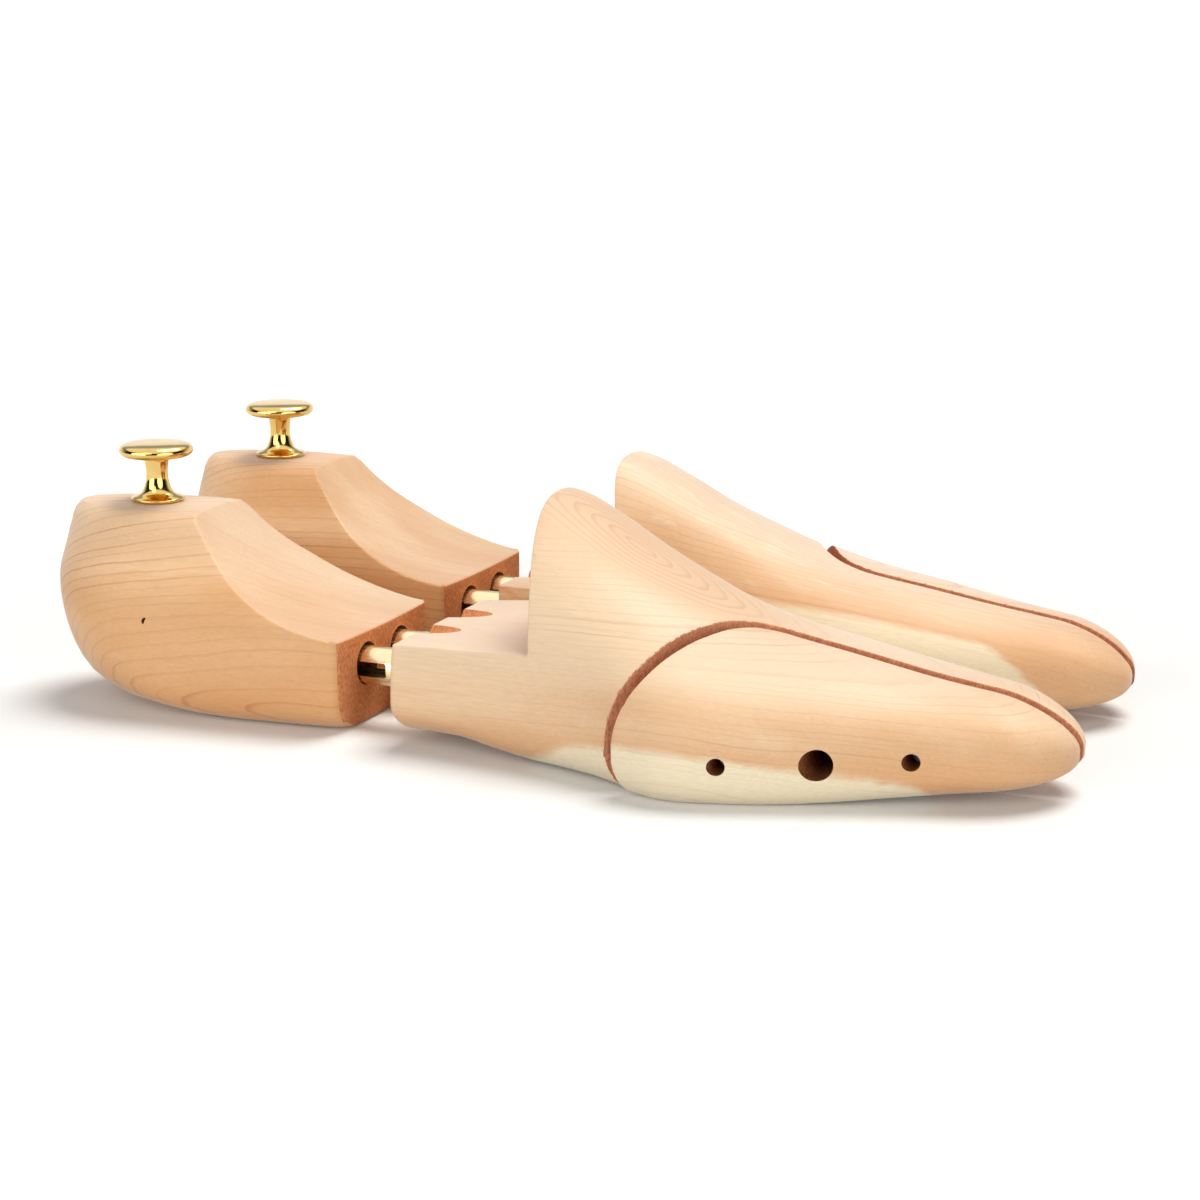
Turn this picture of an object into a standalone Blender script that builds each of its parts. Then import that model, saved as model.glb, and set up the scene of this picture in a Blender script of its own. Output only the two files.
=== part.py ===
"""A pair of wooden shoe trees with brass tubes, sprung lengthwise and split at the toe.

Units are metres, +Z is up and the toes point along +X. The right tree stands nearer, at -Y,
and the left tree is its mirror image. Each tree is drawn in its own plan: x runs forward from
the heel block's front face, y runs from the outer side of the foot (negative) to the inner
side (positive), and z is the height above the floor.
"""
import bmesh
import bpy
from math import cos, hypot, pi, radians, sin, sqrt, tan
from mathutils import Matrix, Vector

# The pair on the floor
TREE_SPACING = 0.0730
LEFT_SETBACK = 0.0034

# Heel block
HEEL_LENGTH = 0.1002
HEEL_WIDTH = 0.0606
HEEL_HEIGHT = 0.0559
HEEL_CROWN = 0.0008
HEEL_FACE_HEIGHT = 0.0270
HEEL_ROUND_LENGTH = 0.0347
HEEL_TURN = radians(1.6)
SCOOP_LENGTH = 0.0500
SCOOP_RADIUS = 0.0680

# Forepart
REST_OPENING = 0.0175
FOREPART_LENGTH = 0.1815
BALL_OUTER_REACH = 0.0490
BALL_INNER_REACH = 0.0346
INSTEP_HEIGHT = 0.0672
TOE_HEIGHT = 0.0230
RIDGE_OFFSET = 0.0070
WIDEST_HEIGHT = 0.0110
SOLE_EDGE_RADIUS = 0.0070
WAIST_LIFT = 0.0045
TOE_LIFT = 0.0050
NOSE_LENGTH = 0.0220
NOSE_LEVEL = 0.0125

# Flat shelf and leaning wall cut into the back of the forepart
SHELF_LENGTH = 0.0417
SHELF_HEIGHT = 0.0282
SHELF_RISE = 0.0022
WALL_LEAN = 0.0085
WALL_HOLLOW = 0.0011
GROOVE_RADIUS = 0.0060
GROOVE_DEPTH = 0.0032
GROOVE_SLOPE = radians(20)

# Telescopic tubes
TUBE_DIAMETER = 0.0108
TUBE_WALL = 0.0007
TUBE_SPACING = 0.0200
TUBE_HEIGHT = 0.0164
TUBE_GRIP = 0.0425
TUBE_REACH_IN_HEEL = 0.0500
SLOT_HEIGHT = 0.0042
SLOT_SHOWN = 0.0085
HEEL_BORE_DIAMETER = 0.0122
HEEL_BORE_DEPTH = 0.0883
FIT_CLEARANCE = 0.0003

# Retaining pin, tube springs and a brad hole in the heel block
PIN_DIAMETER = 0.0024
PIN_SETBACK = 0.0240
PIN_REACH = 0.0190
SPRING_DIAMETER = 0.0106
SPRING_WIRE = 0.0012
BRAD_LENGTH = 0.0016
BRAD_WIDTH = 0.0008
BRAD_DEPTH = 0.0030
BRAD_SETBACK = 0.0587
BRAD_HEIGHT = 0.0281

# Knob and the hanger screw that holds it
KNOB_DIAMETER = 0.0211
KNOB_HEIGHT = 0.0168
KNOB_CROWN = 0.0009
KNOB_RIM = 0.0033
KNOB_NECK_DIAMETER = 0.0061
KNOB_FLANGE_DIAMETER = 0.0152
KNOB_SETBACK = 0.0710
KNOB_SCREW_DIAMETER = 0.0036
KNOB_SCREW_IN_WOOD = 0.0240
KNOB_SCREW_IN_KNOB = 0.0070

# Split side piece, its guide pins and its sprung screw
KERF_WIDTH = 0.0012
KERF_REAR_EASE = 0.0019
SIDE_SPREAD = 0.0025
GUIDE_PIN_DIAMETER = 0.0039
GUIDE_PIN_REACH = 0.0120
GUIDE_PIN_RECESS = 0.0080
REAR_GUIDE_FROM_TOE = 0.0815
REAR_GUIDE_HEIGHT = 0.0113
FRONT_GUIDE_FROM_TOE = 0.0363
FRONT_GUIDE_HEIGHT = 0.0130
TOE_SCREW_FROM_TOE = 0.0582
TOE_SCREW_HEIGHT = 0.0120
TOE_SCREW_DIAMETER = 0.0040
TOE_SCREW_HEAD_DIAMETER = 0.0068
TOE_SCREW_HEAD_HEIGHT = 0.0030
TOE_SCREW_BITE = 0.0100
COUNTERBORE_DIAMETER = 0.0081
SCREW_WEB = 0.0060
TOE_SPRING_POCKET = 0.0120
TOE_SPRING_DIAMETER = 0.0080
TOE_SPRING_BORE = 0.0050

# Shape of the heel block at each share of its height: shares of the half width and of the
# length behind the front face, then how much it narrows towards that face
HEEL_LEVELS = (
    (0.00, 0.66, 0.65, 0.09),
    (0.03, 0.84, 0.71, 0.09),
    (0.08, 0.935, 0.82, 0.09),
    (0.17, 0.98, 0.905, 0.09),
    (0.30, 0.995, 0.955, 0.09),
    (0.47, 1.00, 0.985, 0.09),
    (0.65, 0.90, 1.00, 0.25),
    (0.78, 0.72, 0.99, 0.45),
    (0.875, 0.60, 0.98, 0.62),
    (1 - HEEL_CROWN / HEEL_HEIGHT, 0.45, 0.95, 0.85),
    (1.00, 0.20, 0.86, 0.85),
)

# Shape of the forepart at each share of its length: shares of the outer and the inner reach at
# the ball, of the ridge's rise from toe to instep and of its offset towards the inner side,
# then the fullness of the outer and the inner flank
FOREPART_STATIONS = (
    (0.00, 0.63, 0.80, 0.86, 0.65, 2.05, 2.8),
    (0.10, 0.66, 0.90, 0.97, 0.73, 2.05, 2.9),
    (0.16, 0.69, 0.95, 1.00, 0.78, 2.05, 2.9),
    (0.20, 0.71, 0.98, 0.975, 0.82, 2.05, 2.9),
    (0.26, 0.76, 0.98, 0.86, 0.90, 2.05, 2.8),
    (0.33, 0.83, 0.98, 0.695, 0.96, 2.05, 2.55),
    (0.41, 0.945, 1.00, 0.53, 0.98, 2.05, 2.25),
    (0.475, 1.00, 1.00, 0.405, 0.93, 2.1, 2.2),
    (0.565, 0.925, 0.99, 0.295, 0.71, 2.2, 2.2),
    (0.675, 0.77, 0.90, 0.215, 0.44, 2.35, 2.2),
    (0.785, 0.61, 0.76, 0.135, 0.20, 2.45, 2.3),
    (0.895, 0.48, 0.58, 0.07, 0.00, 2.55, 2.4),
    (1.00, 0.41, 0.47, 0.00, -0.16, 2.6, 2.4),
)

# Plan of the saw cut: shares of the forepart's length and of the outer reach at the ball
KERF_PLAN = (
    (0.32, -1.10),
    (0.36, -0.95),
    (0.39, -0.86),
    (0.415, -0.76),
    (0.44, -0.60),
    (0.465, -0.40),
    (0.495, -0.195),
    (0.53, -0.07),
    (0.575, -0.022),
    (0.64, -0.03),
    (0.73, -0.045),
    (0.84, -0.062),
    (0.93, -0.055),
    (1.00, -0.03),
)

# Arch of the waist: shares of the forepart's length and of the sole's lift at its back edge
WAIST_ARCH = (
    (0.00, 1.00),
    (0.10, 0.95),
    (0.16, 0.60),
    (0.22, 0.30),
    (0.34, 0.20),
    (0.45, 0.00),
)

# Where the toe begins to lift off the floor, as a share of the forepart's length
TOE_LIFT_START = 0.59

# Where the side piece's eased rear edge ends and its close fit begins, as shares of that length
EASE_END = 0.46
FIT_START = 0.55

# Sections drawn along the forepart's body and round its nose
BODY_SECTIONS = 23
NOSE_SECTIONS = 6

TOE = REST_OPENING + FOREPART_LENGTH
SHELF_END = REST_OPENING + SHELF_LENGTH
TUBE_FRONT = REST_OPENING + TUBE_GRIP
TUBE_BACK = -TUBE_REACH_IN_HEEL
BORE_RISE = (HEEL_BORE_DIAMETER - TUBE_DIAMETER) / 2 - FIT_CLEARANCE
BEYOND = 0.0100


def between(stations, column, where):
    """Smooth, unwavering curve through one column of a table whose first column is the place."""
    places = [row[0] for row in stations]
    values = [row[column] for row in stations]
    if where <= places[0]:
        return values[0]
    if where >= places[-1]:
        return values[-1]
    gaps = [b - a for a, b in zip(places, places[1:])]
    rises = [(b - a) / gap for a, b, gap in zip(values, values[1:], gaps)]
    slopes = [rises[0]]
    for i in range(1, len(rises)):
        if rises[i - 1] * rises[i] <= 0:
            slopes.append(0.0)
            continue
        near = 2 * gaps[i] + gaps[i - 1]
        far = gaps[i] + 2 * gaps[i - 1]
        slopes.append((near + far) / (near / rises[i - 1] + far / rises[i]))
    slopes.append(rises[-1])
    i = max(k for k in range(len(gaps)) if places[k] <= where)
    t = (where - places[i]) / gaps[i]
    return (
        (2 * t**3 - 3 * t * t + 1) * values[i]
        + (t**3 - 2 * t * t + t) * gaps[i] * slopes[i]
        + (3 * t * t - 2 * t**3) * values[i + 1]
        + (t**3 - t * t) * gaps[i] * slopes[i + 1]
    )


def sole_height(share):
    """Height of the sole: arched off the floor at the waist, flat at the ball, sprung at the toe."""
    t = max(0.0, (share - TOE_LIFT_START) / (1 - TOE_LIFT_START))
    return WAIST_LIFT * between(WAIST_ARCH, 1, share) + TOE_LIFT * t * t * (3 - 2 * t)


def nose_factor(x):
    """How far the section has closed in towards the nose: 1 behind it, 0 at the tip."""
    t = max(0.0, (x - TOE + NOSE_LENGTH) / NOSE_LENGTH)
    return sqrt(max(0.0, 1 - t * t))


def forepart_ring(x, arch_steps, edge_steps, sole_steps):
    """Closed section of the uncut forepart at x, from the ridge down the outer side and back up."""
    share = (x - REST_OPENING) / FOREPART_LENGTH
    nose = nose_factor(x)
    outer = BALL_OUTER_REACH * between(FOREPART_STATIONS, 1, share) * nose
    inner = BALL_INNER_REACH * between(FOREPART_STATIONS, 2, share) * nose
    rise = TOE_HEIGHT + (INSTEP_HEIGHT - TOE_HEIGHT) * between(FOREPART_STATIONS, 3, share)
    top = NOSE_LEVEL + (rise - NOSE_LEVEL) * nose
    ridge = RIDGE_OFFSET * between(FOREPART_STATIONS, 4, share) * nose
    outer_power = 2 / between(FOREPART_STATIONS, 5, share)
    inner_power = 2 / between(FOREPART_STATIONS, 6, share)
    widest = NOSE_LEVEL + (WIDEST_HEIGHT + 0.3 * sole_height(share) - NOSE_LEVEL) * nose
    bottom = NOSE_LEVEL - (NOSE_LEVEL - sole_height(share)) * nose**0.6
    edge = SOLE_EDGE_RADIUS * nose

    def flank(reach, towards, power):
        points = []
        for i in range(arch_steps + 1):
            a = pi / 2 * (1 - i / arch_steps)
            across = (reach - towards * ridge) * max(0.0, cos(a)) ** power
            points.append((ridge + towards * across, widest + (top - widest) * sin(a) ** power))
        for i in range(1, edge_steps + 1):
            a = pi / 2 * i / edge_steps
            points.append((towards * (reach - edge + edge * cos(a)), widest - (widest - bottom) * sin(a)))
        return points

    outside = flank(outer, -1, outer_power)
    inside = flank(inner, 1, inner_power)
    first, last = outside[-1][0], inside[-1][0]
    under = [(first + (last - first) * i / sole_steps, bottom) for i in range(1, sole_steps)]
    return [Vector((x, y, z)) for y, z in outside + under + inside[:0:-1]]


def forepart_rings():
    """Sections of the uncut forepart: even along the body, closing up round the nose."""
    length = FOREPART_LENGTH - NOSE_LENGTH
    body = [REST_OPENING + length * i / BODY_SECTIONS for i in range(BODY_SECTIONS)]
    turn = radians(83) / NOSE_SECTIONS
    nose = [TOE - NOSE_LENGTH + NOSE_LENGTH * sin(turn * i) for i in range(NOSE_SECTIONS + 1)]
    return [forepart_ring(x, 9, 3, 2) for x in body + nose]


def heel_ring(z, side_steps, round_steps):
    """Closed outline of the uncut heel block at height z, from the outer corner of its face."""
    share = z / HEEL_HEIGHT
    half_width = HEEL_WIDTH / 2 * between(HEEL_LEVELS, 1, share)
    reach = HEEL_LENGTH * between(HEEL_LEVELS, 2, share)
    narrowing = between(HEEL_LEVELS, 3, share)
    round_start = reach - HEEL_ROUND_LENGTH
    side = []
    for i in range(side_steps):
        t = 1 - i / side_steps
        side.append((-round_start * (1 - t), half_width * (1 - narrowing * t**1.5)))
    for i in range(round_steps + 1):
        a = pi / 2 * i / round_steps
        side.append((-round_start - HEEL_ROUND_LENGTH * sin(a), half_width * cos(a)))
    outline = [(x, -y) for x, y in side] + [(x, y) for x, y in side[-2::-1]]
    return [Vector((x, y + heel_centre(x), z)) for x, y in outline]


def heel_centre(x):
    """Sideways place of the heel block's middle line, which turns a little to the outer side."""
    return x * tan(HEEL_TURN)


def kerf_centre(x):
    """Sideways place of the saw cut's middle, in the plan of a tree."""
    return BALL_OUTER_REACH * between(KERF_PLAN, 1, (x - REST_OPENING) / FOREPART_LENGTH)


def rear_ease(x):
    """How far the side piece's sawn edge stands back from the cut, beyond its close fit."""
    t = (x - REST_OPENING) / FOREPART_LENGTH
    t = min(1.0, max(0.0, (FIT_START - t) / (FIT_START - EASE_END)))
    return KERF_REAR_EASE * t * t * (3 - 2 * t)


def outer_reach(x):
    """How far the forepart's outer side stands from the middle of the tree."""
    return BALL_OUTER_REACH * between(FOREPART_STATIONS, 1, (x - REST_OPENING) / FOREPART_LENGTH)


def inner_side(x, z):
    """Sideways place of the heel block's inner side, ahead of its rounded back."""
    share = z / HEEL_HEIGHT
    half_width = HEEL_WIDTH / 2 * between(HEEL_LEVELS, 1, share)
    round_start = HEEL_LENGTH * between(HEEL_LEVELS, 2, share) - HEEL_ROUND_LENGTH
    narrowing = between(HEEL_LEVELS, 3, share)
    return half_width * (1 - narrowing * (1 + x / round_start) ** 1.5) + heel_centre(x)


def clear_scene():
    for old in list(bpy.data.objects):
        bpy.data.objects.remove(old, do_unlink=True)


def new_collection(name):
    collection = bpy.data.collections.new(name)
    bpy.context.scene.collection.children.link(collection)
    return collection


clear_scene()
PARTS = new_collection("shoe_trees")
CUTTERS = new_collection("cutters")


def linear(hex_colour):
    """Linear colour, with alpha, of a colour written as in a paint chart."""
    channels = [int(hex_colour[i:i + 2], 16) / 255 for i in (1, 3, 5)]
    return tuple(c / 12.92 if c <= 0.04045 else ((c + 0.055) / 1.055) ** 2.4 for c in channels) + (1.0,)


def material(name, colour, roughness, metallic=0.0):
    made = bpy.data.materials.new(name)
    made.use_nodes = True
    shader = made.node_tree.nodes["Principled BSDF"]
    shader.inputs["Base Color"].default_value = linear(colour)
    shader.inputs["Roughness"].default_value = roughness
    shader.inputs["Metallic"].default_value = metallic
    made.diffuse_color = linear(colour)
    return made


CEDAR_HEEL = material("cedar_heel_block", "#d0a27c", 0.62)
CEDAR_FOREPART = material("cedar_forepart", "#d6aa84", 0.60)
CEDAR_SIDE = material("cedar_side_piece", "#dcb48f", 0.60)
POLISHED_BRASS = material("polished_brass", "#d9b45a", 0.16, 1.0)
DRAWN_BRASS = material("drawn_brass_tube", "#c9ad72", 0.30, 1.0)
STEEL_PIN = material("steel_pin", "#9a9a98", 0.35, 1.0)
ZINC_SCREW = material("zinc_plated_screw", "#b4b2aa", 0.38, 1.0)
SPRING_STEEL = material("spring_steel", "#7f8184", 0.40, 1.0)


def mesh_of(name, form):
    """Turn a bmesh into a mesh with its faces pointing out, and free the bmesh."""
    bmesh.ops.recalc_face_normals(form, faces=form.faces)
    mesh = bpy.data.meshes.new(name)
    form.to_mesh(mesh)
    form.free()
    return mesh


def add_piece(name, mesh, parent, paint, sharp=30):
    piece = bpy.data.objects.new(name, mesh)
    PARTS.objects.link(piece)
    piece.parent = parent
    mesh.materials.append(paint)
    mesh.shade_smooth()
    mesh.set_sharp_from_angle(angle=radians(sharp))
    return piece


def add_cutter(name, mesh, parent):
    cutter = bpy.data.objects.new(name, mesh)
    CUTTERS.objects.link(cutter)
    cutter.parent = parent
    cutter.hide_render = True
    cutter.display_type = "WIRE"
    return cutter


def cut(piece, cutter, operation="DIFFERENCE"):
    change = piece.modifiers.new(cutter.name, "BOOLEAN")
    change.operation = operation
    change.solver = "EXACT"
    change.object = cutter


def empty(name, parent, place):
    made = bpy.data.objects.new(name, None)
    PARTS.objects.link(made)
    made.empty_display_size = 0.01
    made.parent = parent
    made.location = place
    return made


def loft(name, rings, hand):
    """Closed body through sections that all have the same number of points."""
    form = bmesh.new()
    loops = [[form.verts.new((p.x, p.y * hand, p.z)) for p in ring] for ring in rings]
    for here, there in zip(loops, loops[1:]):
        for i in range(len(here)):
            j = (i + 1) % len(here)
            form.faces.new((here[i], here[j], there[j], there[i]))
    form.faces.new(loops[0])
    form.faces.new(loops[-1])
    return mesh_of(name, form)


def slab(name, outline, low, high):
    """Closed outline pushed from the offset low to the offset high."""
    form = bmesh.new()
    base = form.faces.new([form.verts.new(Vector(p) + Vector(low)) for p in outline])
    risen = bmesh.ops.extrude_face_region(form, geom=[base])["geom"]
    corners = [part for part in risen if isinstance(part, bmesh.types.BMVert)]
    bmesh.ops.translate(form, verts=corners, vec=Vector(high) - Vector(low))
    return mesh_of(name, form)


def rod(name, start, end, diameter, sides, hand):
    """Solid cylinder between the middles of its two ends."""
    start = Vector((start[0], start[1] * hand, start[2]))
    end = Vector((end[0], end[1] * hand, end[2]))
    form = bmesh.new()
    turn = (end - start).to_track_quat("Z", "Y").to_matrix().to_4x4()
    bmesh.ops.create_cone(
        form,
        cap_ends=True,
        segments=sides,
        radius1=diameter / 2,
        radius2=diameter / 2,
        depth=(end - start).length,
        matrix=Matrix.Translation((start + end) / 2) @ turn,
    )
    return mesh_of(name, form)


def pipe(name, start, end, outer, inner, sides, hand):
    """Open-ended tube: two walls joined by flat rings at both ends."""
    start = Vector((start[0], start[1] * hand, start[2]))
    end = Vector((end[0], end[1] * hand, end[2]))
    turn = (end - start).to_track_quat("Z", "Y")
    form = bmesh.new()
    loops = []
    for middle, diameter in ((start, outer), (end, outer), (end, inner), (start, inner)):
        angles = [2 * pi * (i + 0.5) / sides for i in range(sides)]
        spokes = [turn @ Vector((cos(a), sin(a), 0)) for a in angles]
        loops.append([form.verts.new(middle + spoke * diameter / 2) for spoke in spokes])
    for here, there in zip(loops, loops[1:] + loops[:1]):
        for i in range(sides):
            j = (i + 1) % sides
            form.faces.new((here[i], here[j], there[j], there[i]))
    return mesh_of(name, form)


def turned(name, profile, steps):
    """Body turned about Z from a profile that runs down its outer side."""
    form = bmesh.new()
    points = [form.verts.new((r, 0, z)) for r, z in profile]
    for a, b in zip(points, points[1:]):
        form.edges.new((a, b))
    mesh = bpy.data.meshes.new(name)
    form.to_mesh(mesh)
    form.free()

    def spin(piece):
        screw = piece.modifiers.new("turning", "SCREW")
        screw.axis = "Z"
        screw.angle = 2 * pi
        screw.steps = steps
        screw.render_steps = steps
        screw.use_merge_vertices = True
        screw.merge_threshold = 0.00001
        screw.use_smooth_shade = True

    return mesh, spin


def knob_profile():
    """Half section of the knob: domed cap, waisted neck, flange, and the hole for its screw."""
    cap = KNOB_DIAMETER / 2
    neck = KNOB_NECK_DIAMETER / 2
    flange = KNOB_FLANGE_DIAMETER / 2
    hole = KNOB_SCREW_DIAMETER / 2 + FIT_CLEARANCE
    top = KNOB_HEIGHT
    edge = top - KNOB_CROWN
    under = edge - KNOB_RIM
    return (
        (0.0, top),
        (cap * 0.55, top - KNOB_CROWN * 0.22),
        (cap * 0.86, top - KNOB_CROWN * 0.75),
        (cap * 0.965, edge - KNOB_RIM * 0.16),
        (cap, edge - KNOB_RIM * 0.42),
        (cap * 0.965, edge - KNOB_RIM * 0.72),
        (cap * 0.86, edge - KNOB_RIM * 0.90),
        (neck * 1.45, under),
        (neck * 1.10, under - KNOB_RIM * 0.12),
        (neck, under * 0.66),
        (neck * 1.03, under * 0.44),
        (neck * 1.20, under * 0.26),
        (neck * 1.62, under * 0.13),
        (flange * 0.92, under * 0.075),
        (flange, under * 0.05),
        (flange, 0.0),
        (hole, 0.0),
        (hole, KNOB_SCREW_IN_KNOB + FIT_CLEARANCE),
        (0.0, KNOB_SCREW_IN_KNOB + FIT_CLEARANCE),
    )


def make_heel(side, hand, root):
    """Heel block: rounded at the back, scooped in front of the knob and bored for the tubes."""
    rings = [heel_ring(HEEL_HEIGHT * level[0], 5, 8) for level in HEEL_LEVELS]
    block = add_piece(f"{side}_heel_block", loft("heel_block", rings, hand), root, CEDAR_HEEL)

    # The scoop is part of a cylinder through the face's top edge and the top's front edge
    brow = HEEL_HEIGHT - HEEL_CROWN
    drop = brow - HEEL_FACE_HEIGHT
    chord = hypot(SCOOP_LENGTH, drop)
    rise = sqrt(SCOOP_RADIUS**2 - chord**2 / 4)
    level = (brow + HEEL_FACE_HEIGHT) / 2 + rise * SCOOP_LENGTH / chord
    centre = Vector((-SCOOP_LENGTH / 2 + rise * drop / chord, 0, level))
    wide = HEEL_WIDTH / 2 + BEYOND
    cut(block, add_cutter(
        f"{side}_scoop",
        rod("scoop", (centre.x, -wide, centre.z), (centre.x, wide, centre.z), 2 * SCOOP_RADIUS, 72, hand),
        root,
    ))

    for name, across in (("outer", -TUBE_SPACING / 2), ("inner", TUBE_SPACING / 2)):
        level = TUBE_HEIGHT + BORE_RISE
        bore = rod(
            "bore", (BEYOND, across, level), (-HEEL_BORE_DEPTH, across, level), HEEL_BORE_DIAMETER, 16, hand
        )
        cut(block, add_cutter(f"{side}_{name}_heel_bore", bore, root))

    knob_hole = rod(
        "knob_hole",
        (-KNOB_SETBACK, heel_centre(-KNOB_SETBACK), HEEL_HEIGHT + BEYOND),
        (-KNOB_SETBACK, heel_centre(-KNOB_SETBACK), HEEL_HEIGHT - KNOB_SCREW_IN_WOOD - FIT_CLEARANCE),
        KNOB_SCREW_DIAMETER + 2 * FIT_CLEARANCE,
        8,
        hand,
    )
    cut(block, add_cutter(f"{side}_knob_hole", knob_hole, root))

    pin_hole = rod(
        "pin_hole",
        (-PIN_SETBACK, HEEL_WIDTH / 2 + BEYOND, TUBE_HEIGHT),
        (-PIN_SETBACK, -PIN_REACH - FIT_CLEARANCE, TUBE_HEIGHT),
        PIN_DIAMETER + 2 * FIT_CLEARANCE,
        8,
        hand,
    )
    cut(block, add_cutter(f"{side}_pin_hole", pin_hole, root))

    if side == "right":
        half = (BRAD_WIDTH / 2, HEEL_WIDTH / 2, BRAD_LENGTH / 2)
        outline = [(-BRAD_SETBACK + i * half[0], 0, BRAD_HEIGHT + k * half[2])
                   for i, k in ((-1, -1), (1, -1), (1, 1), (-1, 1))]
        deepest = BRAD_DEPTH - HEEL_WIDTH / 2
        brad = slab("brad_hole", outline, (0, -HEEL_WIDTH / 2 - BEYOND, 0), (0, deepest, 0))
        cut(block, add_cutter("right_brad_hole", brad, root))
    return block


def make_knob(side, hand, root):
    """Turned brass knob on the flat top, and the hanger screw that joins it to the wood."""
    place = Vector((-KNOB_SETBACK, hand * heel_centre(-KNOB_SETBACK), HEEL_HEIGHT + FIT_CLEARANCE))
    mesh, spin = turned("knob", knob_profile(), 24)
    knob = add_piece(f"{side}_knob", mesh, root, POLISHED_BRASS)
    knob.location = place
    spin(knob)

    radius = KNOB_SCREW_DIAMETER / 2
    tip = -KNOB_SCREW_IN_WOOD - FIT_CLEARANCE
    profile = (
        (0.0, KNOB_SCREW_IN_KNOB),
        (radius * 0.75, KNOB_SCREW_IN_KNOB),
        (radius * 0.92, KNOB_SCREW_IN_KNOB - radius * 0.28),
        (radius * 0.92, 0.0),
        (radius, -radius * 0.55),
        (radius, tip + KNOB_SCREW_DIAMETER),
        (0.0, tip),
    )
    mesh, spin = turned("knob_screw", profile, 12)
    screw = add_piece(f"{side}_knob_screw", mesh, root, ZINC_SCREW)
    screw.location = place
    spin(screw)


def make_heel_metal(side, hand, root):
    """Pin across both tubes' slots, and the spring behind each tube."""
    flush = inner_side(-PIN_SETBACK, TUBE_HEIGHT) - 2 * FIT_CLEARANCE
    pin = rod(
        "retaining_pin",
        (-PIN_SETBACK, -PIN_REACH, TUBE_HEIGHT),
        (-PIN_SETBACK, flush, TUBE_HEIGHT),
        PIN_DIAMETER,
        12,
        hand,
    )
    add_piece(f"{side}_retaining_pin", pin, root, STEEL_PIN)
    for name, across in (("outer", -TUBE_SPACING / 2), ("inner", TUBE_SPACING / 2)):
        spring = pipe(
            "tube_spring",
            (-HEEL_BORE_DEPTH + FIT_CLEARANCE, across, TUBE_HEIGHT),
            (TUBE_BACK - FIT_CLEARANCE, across, TUBE_HEIGHT),
            SPRING_DIAMETER,
            SPRING_DIAMETER - 2 * SPRING_WIRE,
            16,
            hand,
        )
        add_piece(f"{side}_{name}_tube_spring", spring, root, SPRING_STEEL)


def make_tubes(side, hand, slider):
    """Two brass tubes, fixed in the forepart and slotted for the pin in the heel block."""
    slot_back = -PIN_SETBACK - PIN_DIAMETER / 2 - FIT_CLEARANCE
    for name, across in (("outer", -TUBE_SPACING / 2), ("inner", TUBE_SPACING / 2)):
        tube = add_piece(
            f"{side}_{name}_tube",
            pipe(
                "tube",
                (TUBE_BACK, across, TUBE_HEIGHT),
                (TUBE_FRONT, across, TUBE_HEIGHT),
                TUBE_DIAMETER,
                TUBE_DIAMETER - 2 * TUBE_WALL,
                24,
                hand,
            ),
            slider,
            DRAWN_BRASS,
        )
        tube.location = -slider.location
        low, high = TUBE_HEIGHT - SLOT_HEIGHT / 2, TUBE_HEIGHT + SLOT_HEIGHT / 2
        nick = SLOT_HEIGHT * 0.15
        outline = (
            (slot_back, 0, low),
            (SLOT_SHOWN - nick, 0, low),
            (SLOT_SHOWN, 0, low + nick),
            (SLOT_SHOWN, 0, high - nick),
            (SLOT_SHOWN - nick, 0, high),
            (slot_back, 0, high),
        )
        half = TUBE_DIAMETER / 2 + FIT_CLEARANCE
        slot = add_cutter(
            f"{side}_{name}_slot",
            slab("slot", outline, (0, across * hand - half, 0), (0, across * hand + half, 0)),
            slider,
        )
        slot.location = -slider.location
        cut(tube, slot)


def kerf_outline(offset, ease, reach):
    """Plan of the region outside the saw cut, whose edge lies offset from the cut's middle.

    Ease is the share of the rear ease that is also taken off that edge.
    """
    steps = 40
    nearby = FOREPART_LENGTH / 900
    first, last = KERF_PLAN[0][0], 1.0
    path = []
    for i in range(steps + 1):
        x = REST_OPENING + FOREPART_LENGTH * (first + (last - first) * i / steps)
        ahead = kerf_centre(x + nearby) - kerf_centre(x - nearby)
        normal = Vector((-ahead, 2 * nearby)).normalized()
        shift = offset - ease * rear_ease(x)
        path.append((x + normal.x * shift, kerf_centre(x) + normal.y * shift))
    path.append((TOE + BEYOND, path[-1][1]))
    path.append((TOE + BEYOND, -reach))
    path.append((path[0][0], -reach))
    return path


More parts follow.
